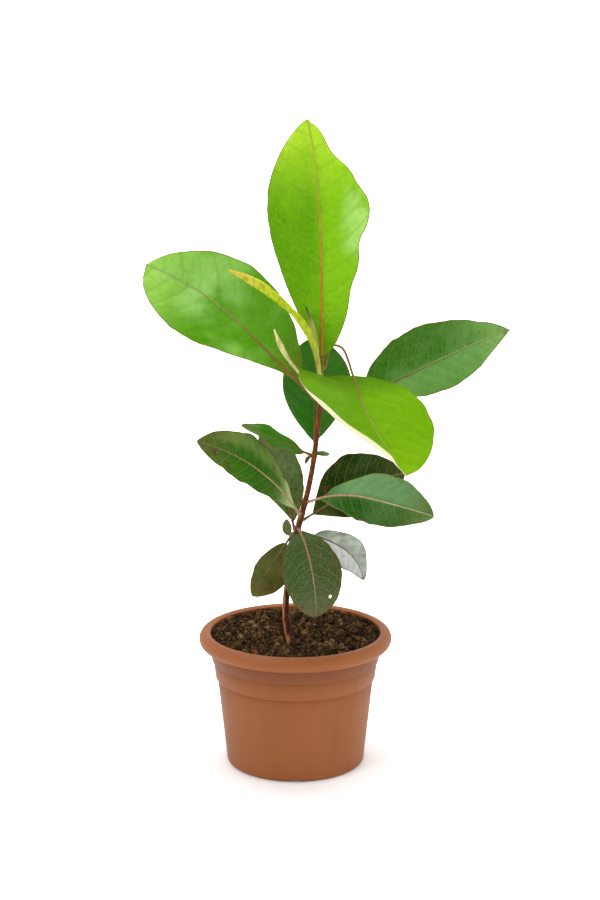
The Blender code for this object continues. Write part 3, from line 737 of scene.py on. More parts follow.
def pot_outside():
    """The outer wall from the foot up to the rolled rim, with the moulding's small roundings."""
    foot = arc((FOOT_RADIUS - FOOT_ROUND, FOOT_ROUND), FOOT_ROUND, -90.0, 0.0, 8)
    body = []
    for share in (0.25, 0.5, 0.75):
        radius = FOOT_RADIUS + (BODY_TOP_RADIUS - FOOT_RADIUS) * share
        body.append((radius, FOOT_ROUND + (STEP_HEIGHT - 0.6 - FOOT_ROUND) * share))
    wall = [
        (BODY_TOP_RADIUS, STEP_HEIGHT - 2.6),
        (BODY_TOP_RADIUS - 0.6, STEP_HEIGHT - 1.6),
        (BODY_TOP_RADIUS - 0.6, STEP_HEIGHT - 0.4),
        (BAND_LOW_RADIUS - 0.4, STEP_HEIGHT - 0.1),
        (BAND_LOW_RADIUS, STEP_HEIGHT + 0.5),
        (BAND_LOW_RADIUS + 0.5 * (BAND_TOP_RADIUS - BAND_LOW_RADIUS), GROOVE_HEIGHT - 9.0),
        (BAND_TOP_RADIUS, GROOVE_HEIGHT - 1.6),
        (BAND_TOP_RADIUS - 0.2, GROOVE_HEIGHT - 0.8),
        (BAND_TOP_RADIUS - 0.2, GROOVE_HEIGHT - 0.1),
        (BAND_TOP_RADIUS + 0.3, GROOVE_HEIGHT + 0.5),
        (SHOULDER_RADIUS, GROOVE_HEIGHT + 1.3),
        (SHOULDER_RADIUS + 1.5, POT_HEIGHT - 25.0),
        (NECK_RADIUS - 1.0, POT_HEIGHT - 20.0),
        (NECK_RADIUS, POT_HEIGHT - 14.0),
    ]
    inner_roll = RIM_ROLL_RADIUS - WALL
    meet = math.degrees(math.acos((NECK_RADIUS - ROLL_CENTRE[0]) / inner_roll))
    under_roll = arc(ROLL_CENTRE, inner_roll, meet, -68.0, 12)
    lip = arc((ROLL_CENTRE[0] + 0.31 * (inner_roll + 1.2), ROLL_CENTRE[1] - 0.95 * (inner_roll + 1.2)),
              1.2, 108.0, 288.0, 6)[1:-1]
    over_roll = arc(ROLL_CENTRE, RIM_ROLL_RADIUS, -72.0, 110.0, 28)
    return [*foot, *body, *wall, *under_roll, *lip, *over_roll]


def lathe(name, profile, segments, material, sharp=None):
    """Turns a profile of (radius, height) points round Z. Its first and last points are on Z."""
    rings = profile[1:-1]
    points = [around(radius, i, segments, height) for radius, height in rings for i in range(segments)]
    start = len(points)
    points += [(0.0, 0.0, profile[0][1]), (0.0, 0.0, profile[-1][1])]
    last = (len(rings) - 1) * segments
    faces = []
    for i in range(segments):
        j = (i + 1) % segments
        faces.append((start, j, i))
        faces.append((start + 1, last + i, last + j))
        for low in range(0, last, segments):
            high = low + segments
            faces.append((low + i, low + j, high + j, high + i))
    return new_object(name, points, faces, material=material, sharp=sharp)


def channel_cutter(turn):
    """A bar that cuts a drain channel under the base, out through the foot."""
    bm = bmesh.new()
    bmesh.ops.create_cube(bm, size=1.0)
    length = FOOT_RADIUS - CHANNEL_START + 10.0
    bmesh.ops.scale(bm, vec=(length, CHANNEL_WIDTH, 2 * CHANNEL_DEPTH), verts=bm.verts)
    bmesh.ops.translate(bm, vec=(CHANNEL_START + length / 2, 0.0, 0.0), verts=bm.verts)
    return cutter_object(bm, turn)


def drain_cutter(turn):
    """A round bar that cuts a drain hole through the base, inside a channel."""
    bm = bmesh.new()
    radius = DRAIN_DIAMETER / 2
    bmesh.ops.create_cone(bm, cap_ends=True, segments=32, radius1=radius, radius2=radius, depth=15.0)
    bmesh.ops.translate(bm, vec=(FOOT_RADIUS * DRAIN_SHARE, 0.0, 0.0), verts=bm.verts)
    return cutter_object(bm, turn)


def cutter_object(bm, turn):
    bmesh.ops.scale(bm, vec=(MM, MM, MM), verts=bm.verts)
    mesh = bpy.data.meshes.new("cutter")
    bm.to_mesh(mesh)
    bm.free()
    cutter = add_to_scene("cutter", mesh)
    cutter.rotation_euler = (0.0, 0.0, math.radians(turn))
    return cutter


def pot_finish():
    """Satin terracotta-coloured plastic with faint flow clouds, fine grain and soil dust, a painted
    highlight on the lower part of the rim's roll and a painted shade under the rim.
    """
    finish = Finish("moulded_terracotta_plastic", 0.5, POT_DEEP)
    height = finish.height()
    finish.layer(finish.noise(9.0, 4.0, stretch=(1.0, 1.0, 0.5)), 0.35, 0.7, POT_PLAIN)
    streak = finish.noise(60.0, 2.0, stretch=(1.0, 1.0, 0.06))
    finish.layer(streak, 0.45, 0.75, POT_STREAK, 0.0, 0.25)
    dusty = finish.band(height, 0.128, 0.142)
    speck = finish.math("MULTIPLY", finish.band(finish.noise(420.0, 5.0), 0.62, 0.7), dusty)
    finish.blend(finish.math("MULTIPLY", speck, 0.35), SOIL_DUST)
    # A painted highlight lightens the lower part of the rim's roll.
    roll = finish.band(height, 0.1255, 0.1290)
    below_roll = finish.math("SUBTRACT", 1.0, roll)
    # A painted shade darkens the neck and band under the rim.
    painted_shade_under_rim = finish.math("MULTIPLY", finish.band(height, 0.0960, 0.1235), below_roll)
    finish.blend(finish.math("MULTIPLY", painted_shade_under_rim, 0.6), POT_PAINTED_SHADE)
    finish.blend(finish.math("MULTIPLY", roll, 0.35), POT_ROLL_PAINTED_HIGHLIGHT)
    grain = finish.noise(900.0, 2.0)
    rough = finish.band(grain, 0.3, 0.7, 0.46, 0.56)
    return finish.done(rough, (grain, 0.08, 0.0004), specular_ior_level=0.35)


def build_pot():
    profile = [(0.0, 0.0), *pot_outside(), *pot_inside(), (0.0, BASE_THICKNESS)]
    pot = lathe("moulded_pot", profile, POT_SEGMENTS, pot_finish())
    cutters = []
    for i in range(CHANNELS):
        turn = -90.0 + 360.0 * i / CHANNELS
        cutters.append(channel_cutter(turn))
        cutters.append(drain_cutter(turn))
    for cutter in cutters:
        boolean = pot.modifiers.new("drain", "BOOLEAN")
        boolean.operation = "DIFFERENCE"
        boolean.solver = "EXACT"
        boolean.object = cutter
    freeze(pot)
    for cutter in cutters:
        bpy.data.objects.remove(cutter, do_unlink=True)
    pot.data.shade_smooth()
    pot.data.set_sharp_from_angle(angle=math.radians(38.0))
    keep(pot, "pot")


def keep(obj, node):
    """The piece hangs from the root body, and the node of the solid part that it stands for, if any, is
    hidden.
    """
    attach(obj, "root")
    if node:
        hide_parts(node)


# ---------------------------------------------------------------- stem and roots
def soil_height(x, y):
    away = math.hypot(x - STEM_FOOT[0], y - STEM_FOOT[1]) / SOIL_DIP_SPREAD
    return POT_HEIGHT - SOIL_DROP - SOIL_DIP * math.exp(-away * away)


SOIL_AT_STEM = soil_height(*STEM_FOOT)


def stem_course(steps):
    """Middle line of the stem above the soil, with the buried taproot below it."""
    buried = [
        (STEM_FOOT[0] + 3.0, STEM_FOOT[1] + 6.0, SOIL_AT_STEM - ROOT_DEPTH),
        (STEM_FOOT[0] - 2.0, STEM_FOOT[1] + 3.0, SOIL_AT_STEM - 0.7 * ROOT_DEPTH),
        (STEM_FOOT[0] + 1.0, STEM_FOOT[1], SOIL_AT_STEM - 0.35 * ROOT_DEPTH),
    ]
    risen = [(x, y, SOIL_AT_STEM + height) for x, y, height in STEM_BENDS]
    return smooth_course([*buried, *risen], steps)


COARSE_STEM = stem_course(3)    # the solid part's own course, which petioles start from
NODE_SWELLING = 0.55
NODE_LENGTH = 3.2
SCAR_LENGTH = 1.6
FOOT_FLARE = 0.9
FLARE_HEIGHT = 7.0
NODE_HEIGHTS = [113.0, 117.0, 121.0, 129.0, 137.0, 149.0, 199.0, 244.0, 256.0, 281.0, 292.0]


def stem_radius(height):
    """Radius at a height above the soil, with the taproot tapering below."""
    if height < 0.0:
        share = min(1.0, -height / ROOT_DEPTH)
        return STEM_DIAMETER / 2 * (1.1 - 0.9 * share)
    share = min(1.0, height / STEM_HEIGHT)
    return (STEM_DIAMETER + (STEM_TIP_DIAMETER - STEM_DIAMETER) * share) / 2


def stem_point(height):
    """The stem's middle line at a height above the soil."""
    level = SOIL_AT_STEM + height
    for low, high in zip(COARSE_STEM, COARSE_STEM[1:]):
        if low.z <= level <= high.z:
            return low.lerp(high, (level - low.z) / (high.z - low.z))
    return COARSE_STEM[-1].copy()


def swollen_radius(height):
    """The stem's radius with its swellings where leaves grow, and a flare at the soil."""
    radius = stem_radius(height)
    for place in NODE_HEIGHTS:
        radius += NODE_SWELLING * math.exp(-((height - place + 1.0) / NODE_LENGTH) ** 2)
    if height > 0.0:
        radius += FOOT_FLARE * math.exp(-height / FLARE_HEIGHT)
    return radius


def bark_finish():
    """Red-brown bark: darker at the foot, paler and striped above, green near the tip, with a painted
    highlight down its left flank.
    """
    finish = Finish("young_bark", 0.55, BARK_FOOT)
    rise = finish.attribute("rise")
    finish.layer(rise, 0.0, 0.16, BARK_LOW)
    finish.layer(rise, 0.3, 0.62, BARK_HIGH)
    finish.layer(rise, 0.86, 0.97, BARK_TIP)
    stripe = finish.noise(420.0, 4.0, stretch=(1.0, 1.0, 0.09))
    pale = finish.mix(finish.band(rise, 0.1, 0.7), BARK_STRIPE_AND_HIGHLIGHT_LOW, BARK_STRIPE_AND_HIGHLIGHT_HIGH)
    # The left flank takes a painted highlight in the pale stripe colour, strongest low on the stem.
    side = finish.math("MULTIPLY", finish.attribute("painted_light_flank"), finish.band(rise, 0.1, 0.45, 0.34, 0.18))
    finish.layer(finish.math("ADD", stripe, side), 0.52, 0.72, pale, 0.0, 0.75)
    dark = finish.noise(300.0, 5.0, stretch=(1.0, 1.0, 0.2))
    finish.layer(dark, 0.52, 0.7, BARK_CRACK, 0.0, 0.7)
    finish.blend(finish.math("MULTIPLY", finish.attribute("scar"), 0.55), BARK_SCAR)
    finish.layer(finish.cells(620.0, "F1"), 0.16, 0.24, BARK_DOT, 0.5, 0.0)
    rough = finish.band(stripe, 0.3, 0.7, 0.42, 0.62)
    relief = finish.math("ADD", stripe, dark)
    return finish.done(rough, (relief, 0.45, 0.0006), specular_ior_level=0.15)


def build_stem():
    """The stem with its taproot and side roots, as one mesh of closed tubes."""
    course = stem_course(12)
    radii = []
    rise = []
    scar = []
    painted_light_flank = []
    for point in course:
        height = point.z - SOIL_AT_STEM
        radii.append(swollen_radius(height))
        near = max(math.exp(-((height - place) / SCAR_LENGTH) ** 2) for place in NODE_HEIGHTS)
        rise += [max(0.0, height / STEM_HEIGHT)] * STEM_SIDES
        scar += [near] * STEM_SIDES

    def ridges(share, turn):
        angle = 2.0 * math.pi * turn
        return 1.0 + 0.05 * uneven(2.4 * math.cos(angle), 2.4 * math.sin(angle), share * 26.0)

    points, faces = tube(course, radii, STEM_SIDES, ridges)
    # Each point's share towards the left flank, for the painted highlight there.
    for i, centre in enumerate(course):
        ring = points[i * STEM_SIDES:(i + 1) * STEM_SIDES]
        painted_light_flank += [(centre.x - point[0]) / radii[i] for point in ring]
    rise += [0.0, 1.0]
    scar += [0.0, 0.0]
    painted_light_flank += [0.0, 0.0]
    for heading, depth, length, drop in SIDE_ROOTS:
        more, more_faces = tube(*side_root(heading, depth, length, drop), ROOT_SIDES)
        faces += [tuple(index + len(points) for index in face) for face in more_faces]
        points += more
        rise += [0.0] * len(more)
        scar += [0.0] * len(more)
        painted_light_flank += [0.0] * len(more)
    layers = {"rise": rise, "scar": scar, "painted_light_flank": painted_light_flank}
    stem = new_object("woody_stem", points, faces, layers, bark_finish())
    keep(stem, "stem_with_roots")


def side_root(heading, depth, length, drop):
    """Middle line and radii of a side root, outward and down from the taproot."""
    start = stem_point(-depth)
    angle = math.radians(heading)
    fall = math.radians(drop)
    course = []
    radii = []
    for i in range(ROOT_ROWS + 1):
        share = i / ROOT_ROWS
        out = length * share * math.cos(fall)
        down = length * share * share * math.sin(fall)
        swerve = 5.0 * math.sin(math.pi * share) + 1.2 * uneven(share * 9.0, heading)
        course.append(start + Vector((out * math.cos(angle) - swerve * math.sin(angle),
                                      out * math.sin(angle) + swerve * math.cos(angle), -down)))
        radii.append(1.5 - 0.9 * share)
    return course, radii


# ---------------------------------------------------------------- soil
def soil_finish():
    """Damp peat and loam: near black in the gaps, brown crumbs, a few orange bits of bark."""
    finish = Finish("peat_and_loam", 0.9, PEAT_BLACK)
    tone = finish.attribute("tone")
    for low, high, colour in SOIL_TONES:
        finish.layer(tone, low, high, colour)
    grit = finish.noise(900.0, 5.0)
    finish.layer(grit, 0.4, 0.58, PEAT_GRIT, 0.0, 0.8)
    rough = finish.band(grit, 0.3, 0.7, 0.8, 0.98)
    return finish.done(rough, (grit, 0.7, 0.0008), specular_ior_level=0.15)


def build_soil(material):
    """The bed of soil that fills the pot, with a lumpy top."""
    wall = [(r - FIT_GAP, z) for r, z in pot_inside()[1:-1]]
    floor = (pot_inside()[-1][0] - FIT_GAP, BASE_THICKNESS + FIT_GAP)
    edge = pot_inside()[0][0] - FIT_GAP
    top = [(edge * (i + 1) / BED_RINGS, POT_HEIGHT) for i in range(BED_RINGS)]
    profile = [(0.0, POT_HEIGHT), *top, *wall, floor, (0.0, BASE_THICKNESS + FIT_GAP)]
    bed = lathe("soil_bed", profile, SOIL_SEGMENTS, material, sharp=60.0)
    mesh = bed.data
    mesh.flip_normals()
    tones = []
    for vertex in mesh.vertices:
        x, y, z = vertex.co / MM
        if z > POT_HEIGHT - 1.0:
            lumps = 1.6 * uneven(x * 0.16, y * 0.16, 3.0) + 0.8 * uneven(x * 0.5, y * 0.5, 7.0)
            vertex.co.z = (soil_height(x, y) - 2.0 + lumps) * MM
        tones.append(0.12 + 0.1 * uneven(x * 0.3, y * 0.3, z * 0.3))
    write_layers(mesh, {"tone": tones})
    keep(bed, "soil")


def soil_patch(name, reach, rings):
    """A disc that follows the soil's surface, for crumbs to be strewn on."""
    points = [(0.0, 0.0, soil_height(0.0, 0.0))]
    faces = []
    sides = PATCH_SIDES
    for ring in range(1, rings + 1):
        for k in range(sides):
            x, y = around(reach * ring / rings, k, sides, 0.0)[:2]
            points.append((x, y, soil_height(x, y)))
    for k in range(sides):
        faces.append((0, 1 + k, 1 + (k + 1) % sides))
        faces += [quad(1 + ring * sides, k, sides) for ring in range(rings - 1)]
    return new_object(name, points, faces)


@dataclass
class Crumbs:
    """One size of soil crumb, strewn over the soil's surface."""

    name: str
    reach: float            # from the pot's axis
    per_square_metre: float
    apart: float
    smallest: float
    largest: float
    sink: float             # lowest and highest middle of a crumb off the surface
    rise: float
    cuts: int               # of a rounded block, or 0 for a plain ball
    seed: int


CRUMB_LUMPINESS = 0.3
CRUMBS = [
    Crumbs("soil_crumbs_coarse", 84.5, 120000.0, 3.0, 1.3, 4.3, -2.6, 0.0, 3, 11),
    Crumbs("soil_crumbs_fine", 87.0, 160000.0, 1.6, 0.6, 1.4, -1.8, 0.9, 0, 31),
]


def crumb_shape(growth, cuts):
    """A rounded block with a few faces, or a plain ball of 20."""
    if not cuts:
        return growth.node("GeometryNodeMeshIcoSphere", {"Radius": 1.0, "Subdivisions": 1}).outputs[0]
    block = growth.node("GeometryNodeMeshCube", {"Size": (1.0, 1.0, 1.0), "Vertices X": cuts,
                                                 "Vertices Y": cuts, "Vertices Z": cuts})
    place = growth.node("GeometryNodeInputPosition").outputs[0]
    round_off = growth.node("ShaderNodeVectorMath", {0: place}, operation="NORMALIZE").outputs[0]
    return growth.moved(block.outputs[0], "Position", round_off)


def strew(kind, material):
    """Crumbs of soil strewn over the surface, each of its own size, turn, height and tone."""
    patch = soil_patch(kind.name, kind.reach, PATCH_RINGS)
    growth = Growth(kind.name + "_growth")
    density = growth.knob("Crumbs per square metre", "NodeSocketFloat", kind.per_square_metre)
    small = growth.knob("Smallest", "NodeSocketFloat", kind.smallest * MM)
    large = growth.knob("Largest", "NodeSocketFloat", kind.largest * MM)
    lumpy = growth.knob("Lumpiness", "NodeSocketFloat", CRUMB_LUMPINESS)
    strewn = growth.node("GeometryNodeDistributePointsOnFaces",
                         {"Mesh": growth.given.outputs[0], "Density Max": density,
                          "Distance Min": kind.apart * MM, "Seed": kind.seed},
                         distribute_method="POISSON").outputs["Points"]
    up = growth.random(kind.seed + 1, (0.0, 0.0, kind.sink * MM), (0.0, 0.0, kind.rise * MM))
    lifted = growth.moved(strewn, "Offset", up)
    turn = growth.random(kind.seed + 2, (0.0, 0.0, 0.0), (6.28, 6.28, 6.28))
    size = growth.random(kind.seed + 3)
    pushed = growth.node("ShaderNodeMath", {0: size, 1: 2.2}, operation="POWER").outputs[0]
    ranged = growth.node("ShaderNodeMapRange", {"Value": pushed, "To Min": small, "To Max": large})
    crumbs = growth.node("GeometryNodeInstanceOnPoints",
                         {"Points": lifted, "Instance": crumb_shape(growth, kind.cuts),
                          "Rotation": turn, "Scale": ranged.outputs[0]}).outputs[0]
    toned = growth.store(crumbs, "tone", growth.random(kind.seed + 4), "INSTANCE")
    real = growth.node("GeometryNodeRealizeInstances", {"Geometry": toned}).outputs[0]
    rough = growth.node("ShaderNodeTexNoise", {"Scale": 420.0, "Detail": 2.0})
    middle = growth.node("ShaderNodeVectorMath", {0: rough.outputs["Color"], 1: (0.5, 0.5, 0.5)},
                         operation="SUBTRACT").outputs[0]
    far = growth.node("ShaderNodeMath", {0: lumpy, 1: kind.largest * 1.6 * MM},
                      operation="MULTIPLY").outputs[0]
    shift = growth.node("ShaderNodeVectorMath", {0: middle, "Scale": far}, operation="SCALE").outputs[0]
    growth.run(patch, growth.moved(real, "Offset", shift), material)
    keep(patch, None)


# ---------------------------------------------------------------- leaves
START_CLEARANCE = 0.15
CURL_ANGLE = 105.0
HALF_WIDTH_LEAST = 0.5


def start_place(height, heading, lift, radius):
    """Where a petiole begins, just clear of the stem on the side that it grows to."""
    lean = radius * abs(math.sin(math.radians(lift)))
    reach = stem_radius(height) + FIT_GAP + lean + START_CLEARANCE
    angle = math.radians(heading)
    return stem_point(height) + reach * Vector((math.cos(angle), math.sin(angle), 0.0))


def half_width(leaf, side, t):
    """Half width of the blade at t along it. The side is 1 for left and -1 for right."""
    width, widest, base, tip = leaf.left if side > 0 else leaf.right
    power = math.log(0.5) / math.log(widest)
    swell = max(0.0, math.sin(math.pi * t ** power))
    value = width * swell ** (base + (tip - base) * t)
    for dent_side, place, depth, spread in leaf.dents:
        if dent_side == side:
            value -= depth * math.exp(-((t - place) / spread) ** 2)
    return max(value, 0.0)


class Blade:
    """The surface of one leaf, worked out from its course, outline and relief."""

    FINE = 160

    def __init__(self, leaf, seed):
        self.leaf = leaf
        self.seed = seed * 7.3
        self.total = leaf.petiole + leaf.blade
        point = start_place(leaf.height, leaf.heading[0], leaf.lift[0], PETIOLE_DIAMETER / 2)
        self.line = [point.copy()]
        for i in range(self.FINE):
            share = (i + 0.5) / self.FINE
            point = point + self.along(share) * (self.total / self.FINE)
            self.line.append(point.copy())

    def along(self, share):
        leaf = self.leaf
        heading = read_along(leaf.heading, leaf.stations, share)
        return direction(heading, read_along(leaf.lift, leaf.stations, share))

    def frame(self, share):
        """Point, leftward axis and upper-face axis at a share of the whole length."""
        leaf = self.leaf
        heading = math.radians(read_along(leaf.heading, leaf.stations, share))
        roll = math.radians(read_along(leaf.roll, even_stations(leaf.roll), share))
        along = self.along(share)
        level = Vector((-math.sin(heading), math.cos(heading), 0.0))
        up = along.cross(level)
        left = level * math.cos(roll) + up * math.sin(roll)
        face = up * math.cos(roll) - level * math.sin(roll)
        spot = share * self.FINE
        low = min(int(spot), self.FINE - 1)
        return self.line[low].lerp(self.line[low + 1], spot - low), left, face

    def share_at(self, t):
        return (self.leaf.petiole + self.leaf.blade * t) / self.total

    def width(self, side, t):
        """Half width with the outline's small unevenness, narrowed to the petiole at the base."""
        leaf = self.leaf
        value = half_width(leaf, side, t)
        fine = uneven(t * leaf.blade / 9.0, side * 5.0, self.seed)
        wide = uneven(t * leaf.blade / 26.0, side * 9.0, self.seed + 3.0)
        value *= 1.0 + leaf.wear * (fine + 1.4 * wide)
        if side < 0 and leaf.curl:
            value += 0.35 * leaf.curl * smooth_step(*CURL_START, t) * smooth_step(1.0, 0.8, t)
        return max(value, HALF_WIDTH_LEAST)

    def vein_lead(self, distance):
        """How far a side vein has run towards the tip at a distance from the midrib."""
        return 0.32 * distance + self.leaf.vein_sweep * distance * distance / self.leaf.left[0]

    def phase(self, t, distance):
        """Counts the side veins of the right half: a whole number on each of them."""
        return (t * self.leaf.blade - self.vein_lead(distance)) / self.leaf.spacing

    def vein_run(self, count, distance, side):
        """The t at which a side vein lies at a distance from the midrib."""
        shift = LEFT_SHIFT if side > 0 else 0.0
        return ((count - shift) * self.leaf.spacing + self.vein_lead(distance)) / self.leaf.blade

    def relief(self, t, share, distance, side):
        """How far the blade swells off its plain surface."""
        leaf = self.leaf
        shift = LEFT_SHIFT if side > 0 else 0.0
        swell = math.sin(math.pi * (self.phase(t, distance) + shift)) ** 2
        inner = smooth_step(0.5, 8.0, distance)
        outer = smooth_step(1.0, 0.8, share)
        waves = math.sin(2.0 * math.pi * (t * leaf.blade / 34.0) + 1.7 * side + self.seed)
        sway = uneven(t * 3.0, share * side * 1.6, self.seed)
        ends = smooth_step(0.0, 0.1, t)
        height = leaf.quilt[0 if side > 0 else 1] * swell * inner * outer
        height += leaf.ripple * waves * share ** 3
        return ends * (height + 1.6 * leaf.ripple * sway * share)

    def point(self, t, across):
        """A place on the blade, and the way that its upper face looks there."""
        leaf = self.leaf
        place, left, face = self.frame(self.share_at(t))
        side = 1 if across >= 0.0 else -1
        share = abs(across)
        width = self.width(side, t)
        distance = share * width
        fold = math.radians(leaf.fold) * min(1.0, t / 0.12)
        outward = left * side * math.cos(fold) + face * math.sin(fold)
        up = face * math.cos(fold) - left * side * math.sin(fold)
        place = place + left * leaf.bend * t ** 4
        height = self.relief(t, share, distance, side)
        turned = width - leaf.curl * smooth_step(*CURL_START, t) * smooth_step(1.0, 0.85, t)
        if side < 0 and leaf.curl and distance > turned:
            radius = leaf.curl / math.radians(CURL_ANGLE)
            angle = (distance - turned) / radius
            distance = turned + radius * math.sin(angle)
            height += radius * (1.0 - math.cos(angle))
            up = up * math.cos(angle) - outward * math.sin(angle)
        return place + outward * distance + face * height, up


def blade_faces(rows, columns, missing):
    """Faces of a closed sheet: its upper and lower grid, its edges and the sides of any hole."""
    wide = columns + 1
    under = (rows + 1) * wide

    def wall(a, b):
        return (a, b, b + under, a + under)

    faces = []
    for i in range(rows):
        for j in range(columns):
            a = i * wide + j
            if (i, j) in missing:
                if (i - 1, j) not in missing:
                    faces.append(wall(a + 1, a))
                if (i + 1, j) not in missing:
                    faces.append(wall(a + wide, a + wide + 1))
                if (i, j - 1) not in missing:
                    faces.append(wall(a, a + wide))
                if (i, j + 1) not in missing:
                    faces.append(wall(a + wide + 1, a + 1))
                continue
            faces.append((a, a + wide, a + wide + 1, a + 1))
            faces.append((a + under, a + 1 + under, a + wide + 1 + under, a + wide + under))
    for i in range(rows):
        a = i * wide
        faces.append(wall(a + wide, a))
        faces.append(wall(a + columns, a + wide + columns))
    for j in range(columns):
        faces.append(wall(j, j + 1))
        last = rows * wide + j
        faces.append(wall(last + 1, last))
    return faces


def build_blade(leaf, blade, material):
    """A closed sheet for the blade, with the attributes that its material reads."""
    rows = max(24, int(leaf.blade / 1.9))
    columns = 2 * leaf.columns
    upper = []
    lower = []
    layers = {"along": [], "across": [], "phase": [], "margin": [], "distance": []}
    for i in range(rows + 1):
        t = i / rows
        for j in range(columns + 1):
            across = -1.0 + 2.0 * j / columns
            across = math.copysign(abs(across) ** 0.92, across)
            side = 1 if across >= 0.0 else -1
            place, up = blade.point(t, across)
            width = blade.width(side, t)
            upper.append(place + up * HALF_BLADE)
            lower.append(place - up * HALF_BLADE)
            layers["along"].append(t)
            layers["across"].append(across)
            layers["phase"].append(blade.phase(t, abs(across) * width))
            layers["margin"].append(min((1.0 - abs(across)) * width, (1.0 - t) * leaf.blade))
            layers["distance"].append(across * width)
    missing = pierce(leaf, rows, columns, layers, upper, lower) if leaf.hole else set()
    doubled = {label: values + values for label, values in layers.items()}
    doubled["underside"] = [0.0] * len(upper) + [1.0] * len(lower)
    faces = blade_faces(rows, columns, missing)
    obj = new_object(leaf.name + "_blade", upper + lower, faces, doubled, material, sharp=50.0)
    bm = bmesh.new()
    bm.from_mesh(obj.data)
    loose = [v for v in bm.verts if not v.link_faces]
    bmesh.ops.delete(bm, geom=loose, context="VERTS")
    bm.to_mesh(obj.data)
    bm.free()
    keep(obj, leaf.name)


def pierce(leaf, rows, columns, layers, upper, lower):
    """Opens a small round hole that an insect left: drops its cells and rounds their border."""
    t, across, radius = leaf.hole
    wide = columns + 1
    row = round(t * rows)
    column = min(range(wide), key=lambda j: abs(layers["across"][row * wide + j] - across))
    missing = {(row + i, column + j) for i in (-1, 0) for j in (-1, 0)}
    middle_index = row * wide + column
    for sheet in (upper, lower):
        middle = sheet[middle_index].copy()
        for i in (-1, 0, 1):
            for j in (-1, 0, 1):
                if i or j:
                    index = (row + i) * wide + column + j
                    sheet[index] = middle + (sheet[index] - middle).normalized() * radius
    return missing


def blade_finish(leaf):
    """Leaf skin: greens along and across, clouds, a pale patch of painted highlight, side veins with a fine
    net and painted shade beside them, spots and margin.
    """
    finish = Finish(leaf.name + "_skin", leaf.roughness, leaf.right_green)
    along = finish.attribute("along")
    across = finish.attribute("across")
    finish.layer(across, leaf.split - 0.2, leaf.split + 0.2, leaf.left_green)
    finish.layer(along, 0.0, 0.3, leaf.base_green, 1.0, 0.0)
    finish.layer(along, 0.6, 1.0, leaf.tip_green)
    cloud = finish.noise(22.0, 4.0)
    finish.layer(cloud, 0.46, 0.7, leaf.cloud_green, 0.0, leaf.clouds)
    # A pale patch of painted highlight on the blade.
    if leaf.painted_highlight:
        finish.blend(painted_highlight_share(finish, leaf, along, across), leaf.painted_highlight_green)
    fleck = finish.noise(190.0, 3.0)
    finish.layer(fleck, 0.45, 0.7, finish.shaded(FLECK_SHADE), 0.0, leaf.flecks)
    net = vein_layers(finish, leaf)
    if leaf.spots:
        wide = finish.math("MULTIPLY", finish.noise(12.0, 2.0), 0.5)
        spot = finish.math("ADD", finish.noise(130.0, 5.0), wide)
        low = 0.92 - 0.16 * leaf.spots
        finish.layer(spot, low, low + 0.07, SPOT_BROWN, 0.0, 0.35 + leaf.spots)
    edge = finish.mix(0.35, MARGIN_BROWN, leaf.left_green)
    finish.layer(finish.attribute("margin"), 0.5, 1.6, edge, 0.85, 0.0)
    under = finish.attribute("underside")
    if leaf.curl:
        pale = finish.mix(0.9, finish.skin, CREAM_UNDERSIDE)
    else:
        pale = finish.mix(0.45, finish.skin, leaf.vein)
    finish.blend(under, pale)
    gloss = finish.band(cloud, 0.35, 0.7, leaf.roughness + 0.06, leaf.roughness - 0.04)
    height = finish.math("ADD", finish.band(net, 0.0, 0.12), finish.math("MULTIPLY", fleck, 0.6))
    return finish.done(finish.mix_value(under, gloss, 0.62), (height, 0.28, 0.0004),
                       specular_ior_level=leaf.shine, specular_tint=(*leaf.sheen_tint, 1.0),
                       subsurface_weight=0.12, subsurface_scale=0.002,
                       subsurface_radius=(0.6, 1.0, 0.2))


def vein_layers(finish, leaf):
    """Side veins, the painted shade beside them and the fine net between them, which it gives back."""
    distance = finish.attribute("distance")
    on_left = finish.math("GREATER_THAN", distance, 0.0)
    phase = finish.math("MULTIPLY_ADD", on_left, LEFT_SHIFT)
    finish.feed(finish.attribute("phase"), phase.node.inputs[2])
    net_place = finish.combine(finish.math("MULTIPLY", phase, 4.0),
                               finish.math("MULTIPLY", distance, 4.0 / leaf.spacing))
    net = finish.cells(1.0, place=net_place)
    finish.layer(net, 0.0, 0.07, leaf.vein, leaf.net, 0.0)
    nearest = finish.math("MULTIPLY", finish.math("PINGPONG", phase, 0.5), leaf.spacing)
    finish.layer(nearest, 0.2, 0.9, leaf.vein, 0.35, 0.0)
    # Painted shade beside each side vein.
    finish.layer(nearest, 0.8, 2.6, finish.shaded(VALLEY_PAINTED_SHADE), leaf.valley, 0.0)
    return net


def painted_highlight_share(finish, leaf, along, across):
    """How much of the painted highlight patch shows: most in its middle, broken up by soft clouds."""
    place, side, reach_along, reach_across, strength = leaf.painted_highlight
    off_along = finish.math("DIVIDE", finish.math("SUBTRACT", along, place), reach_along)
    off_across = finish.math("DIVIDE", finish.math("SUBTRACT", across, side), reach_across)
    squares = finish.math("ADD", finish.math("POWER", off_along, 2.0), finish.math("POWER", off_across, 2.0))
    near = finish.band(squares, 0.0, 1.0, strength, 0.0)
    return finish.math("MULTIPLY", near, finish.band(finish.noise(26.0, 3.0), 0.38, 0.62, 0.1, 1.0))


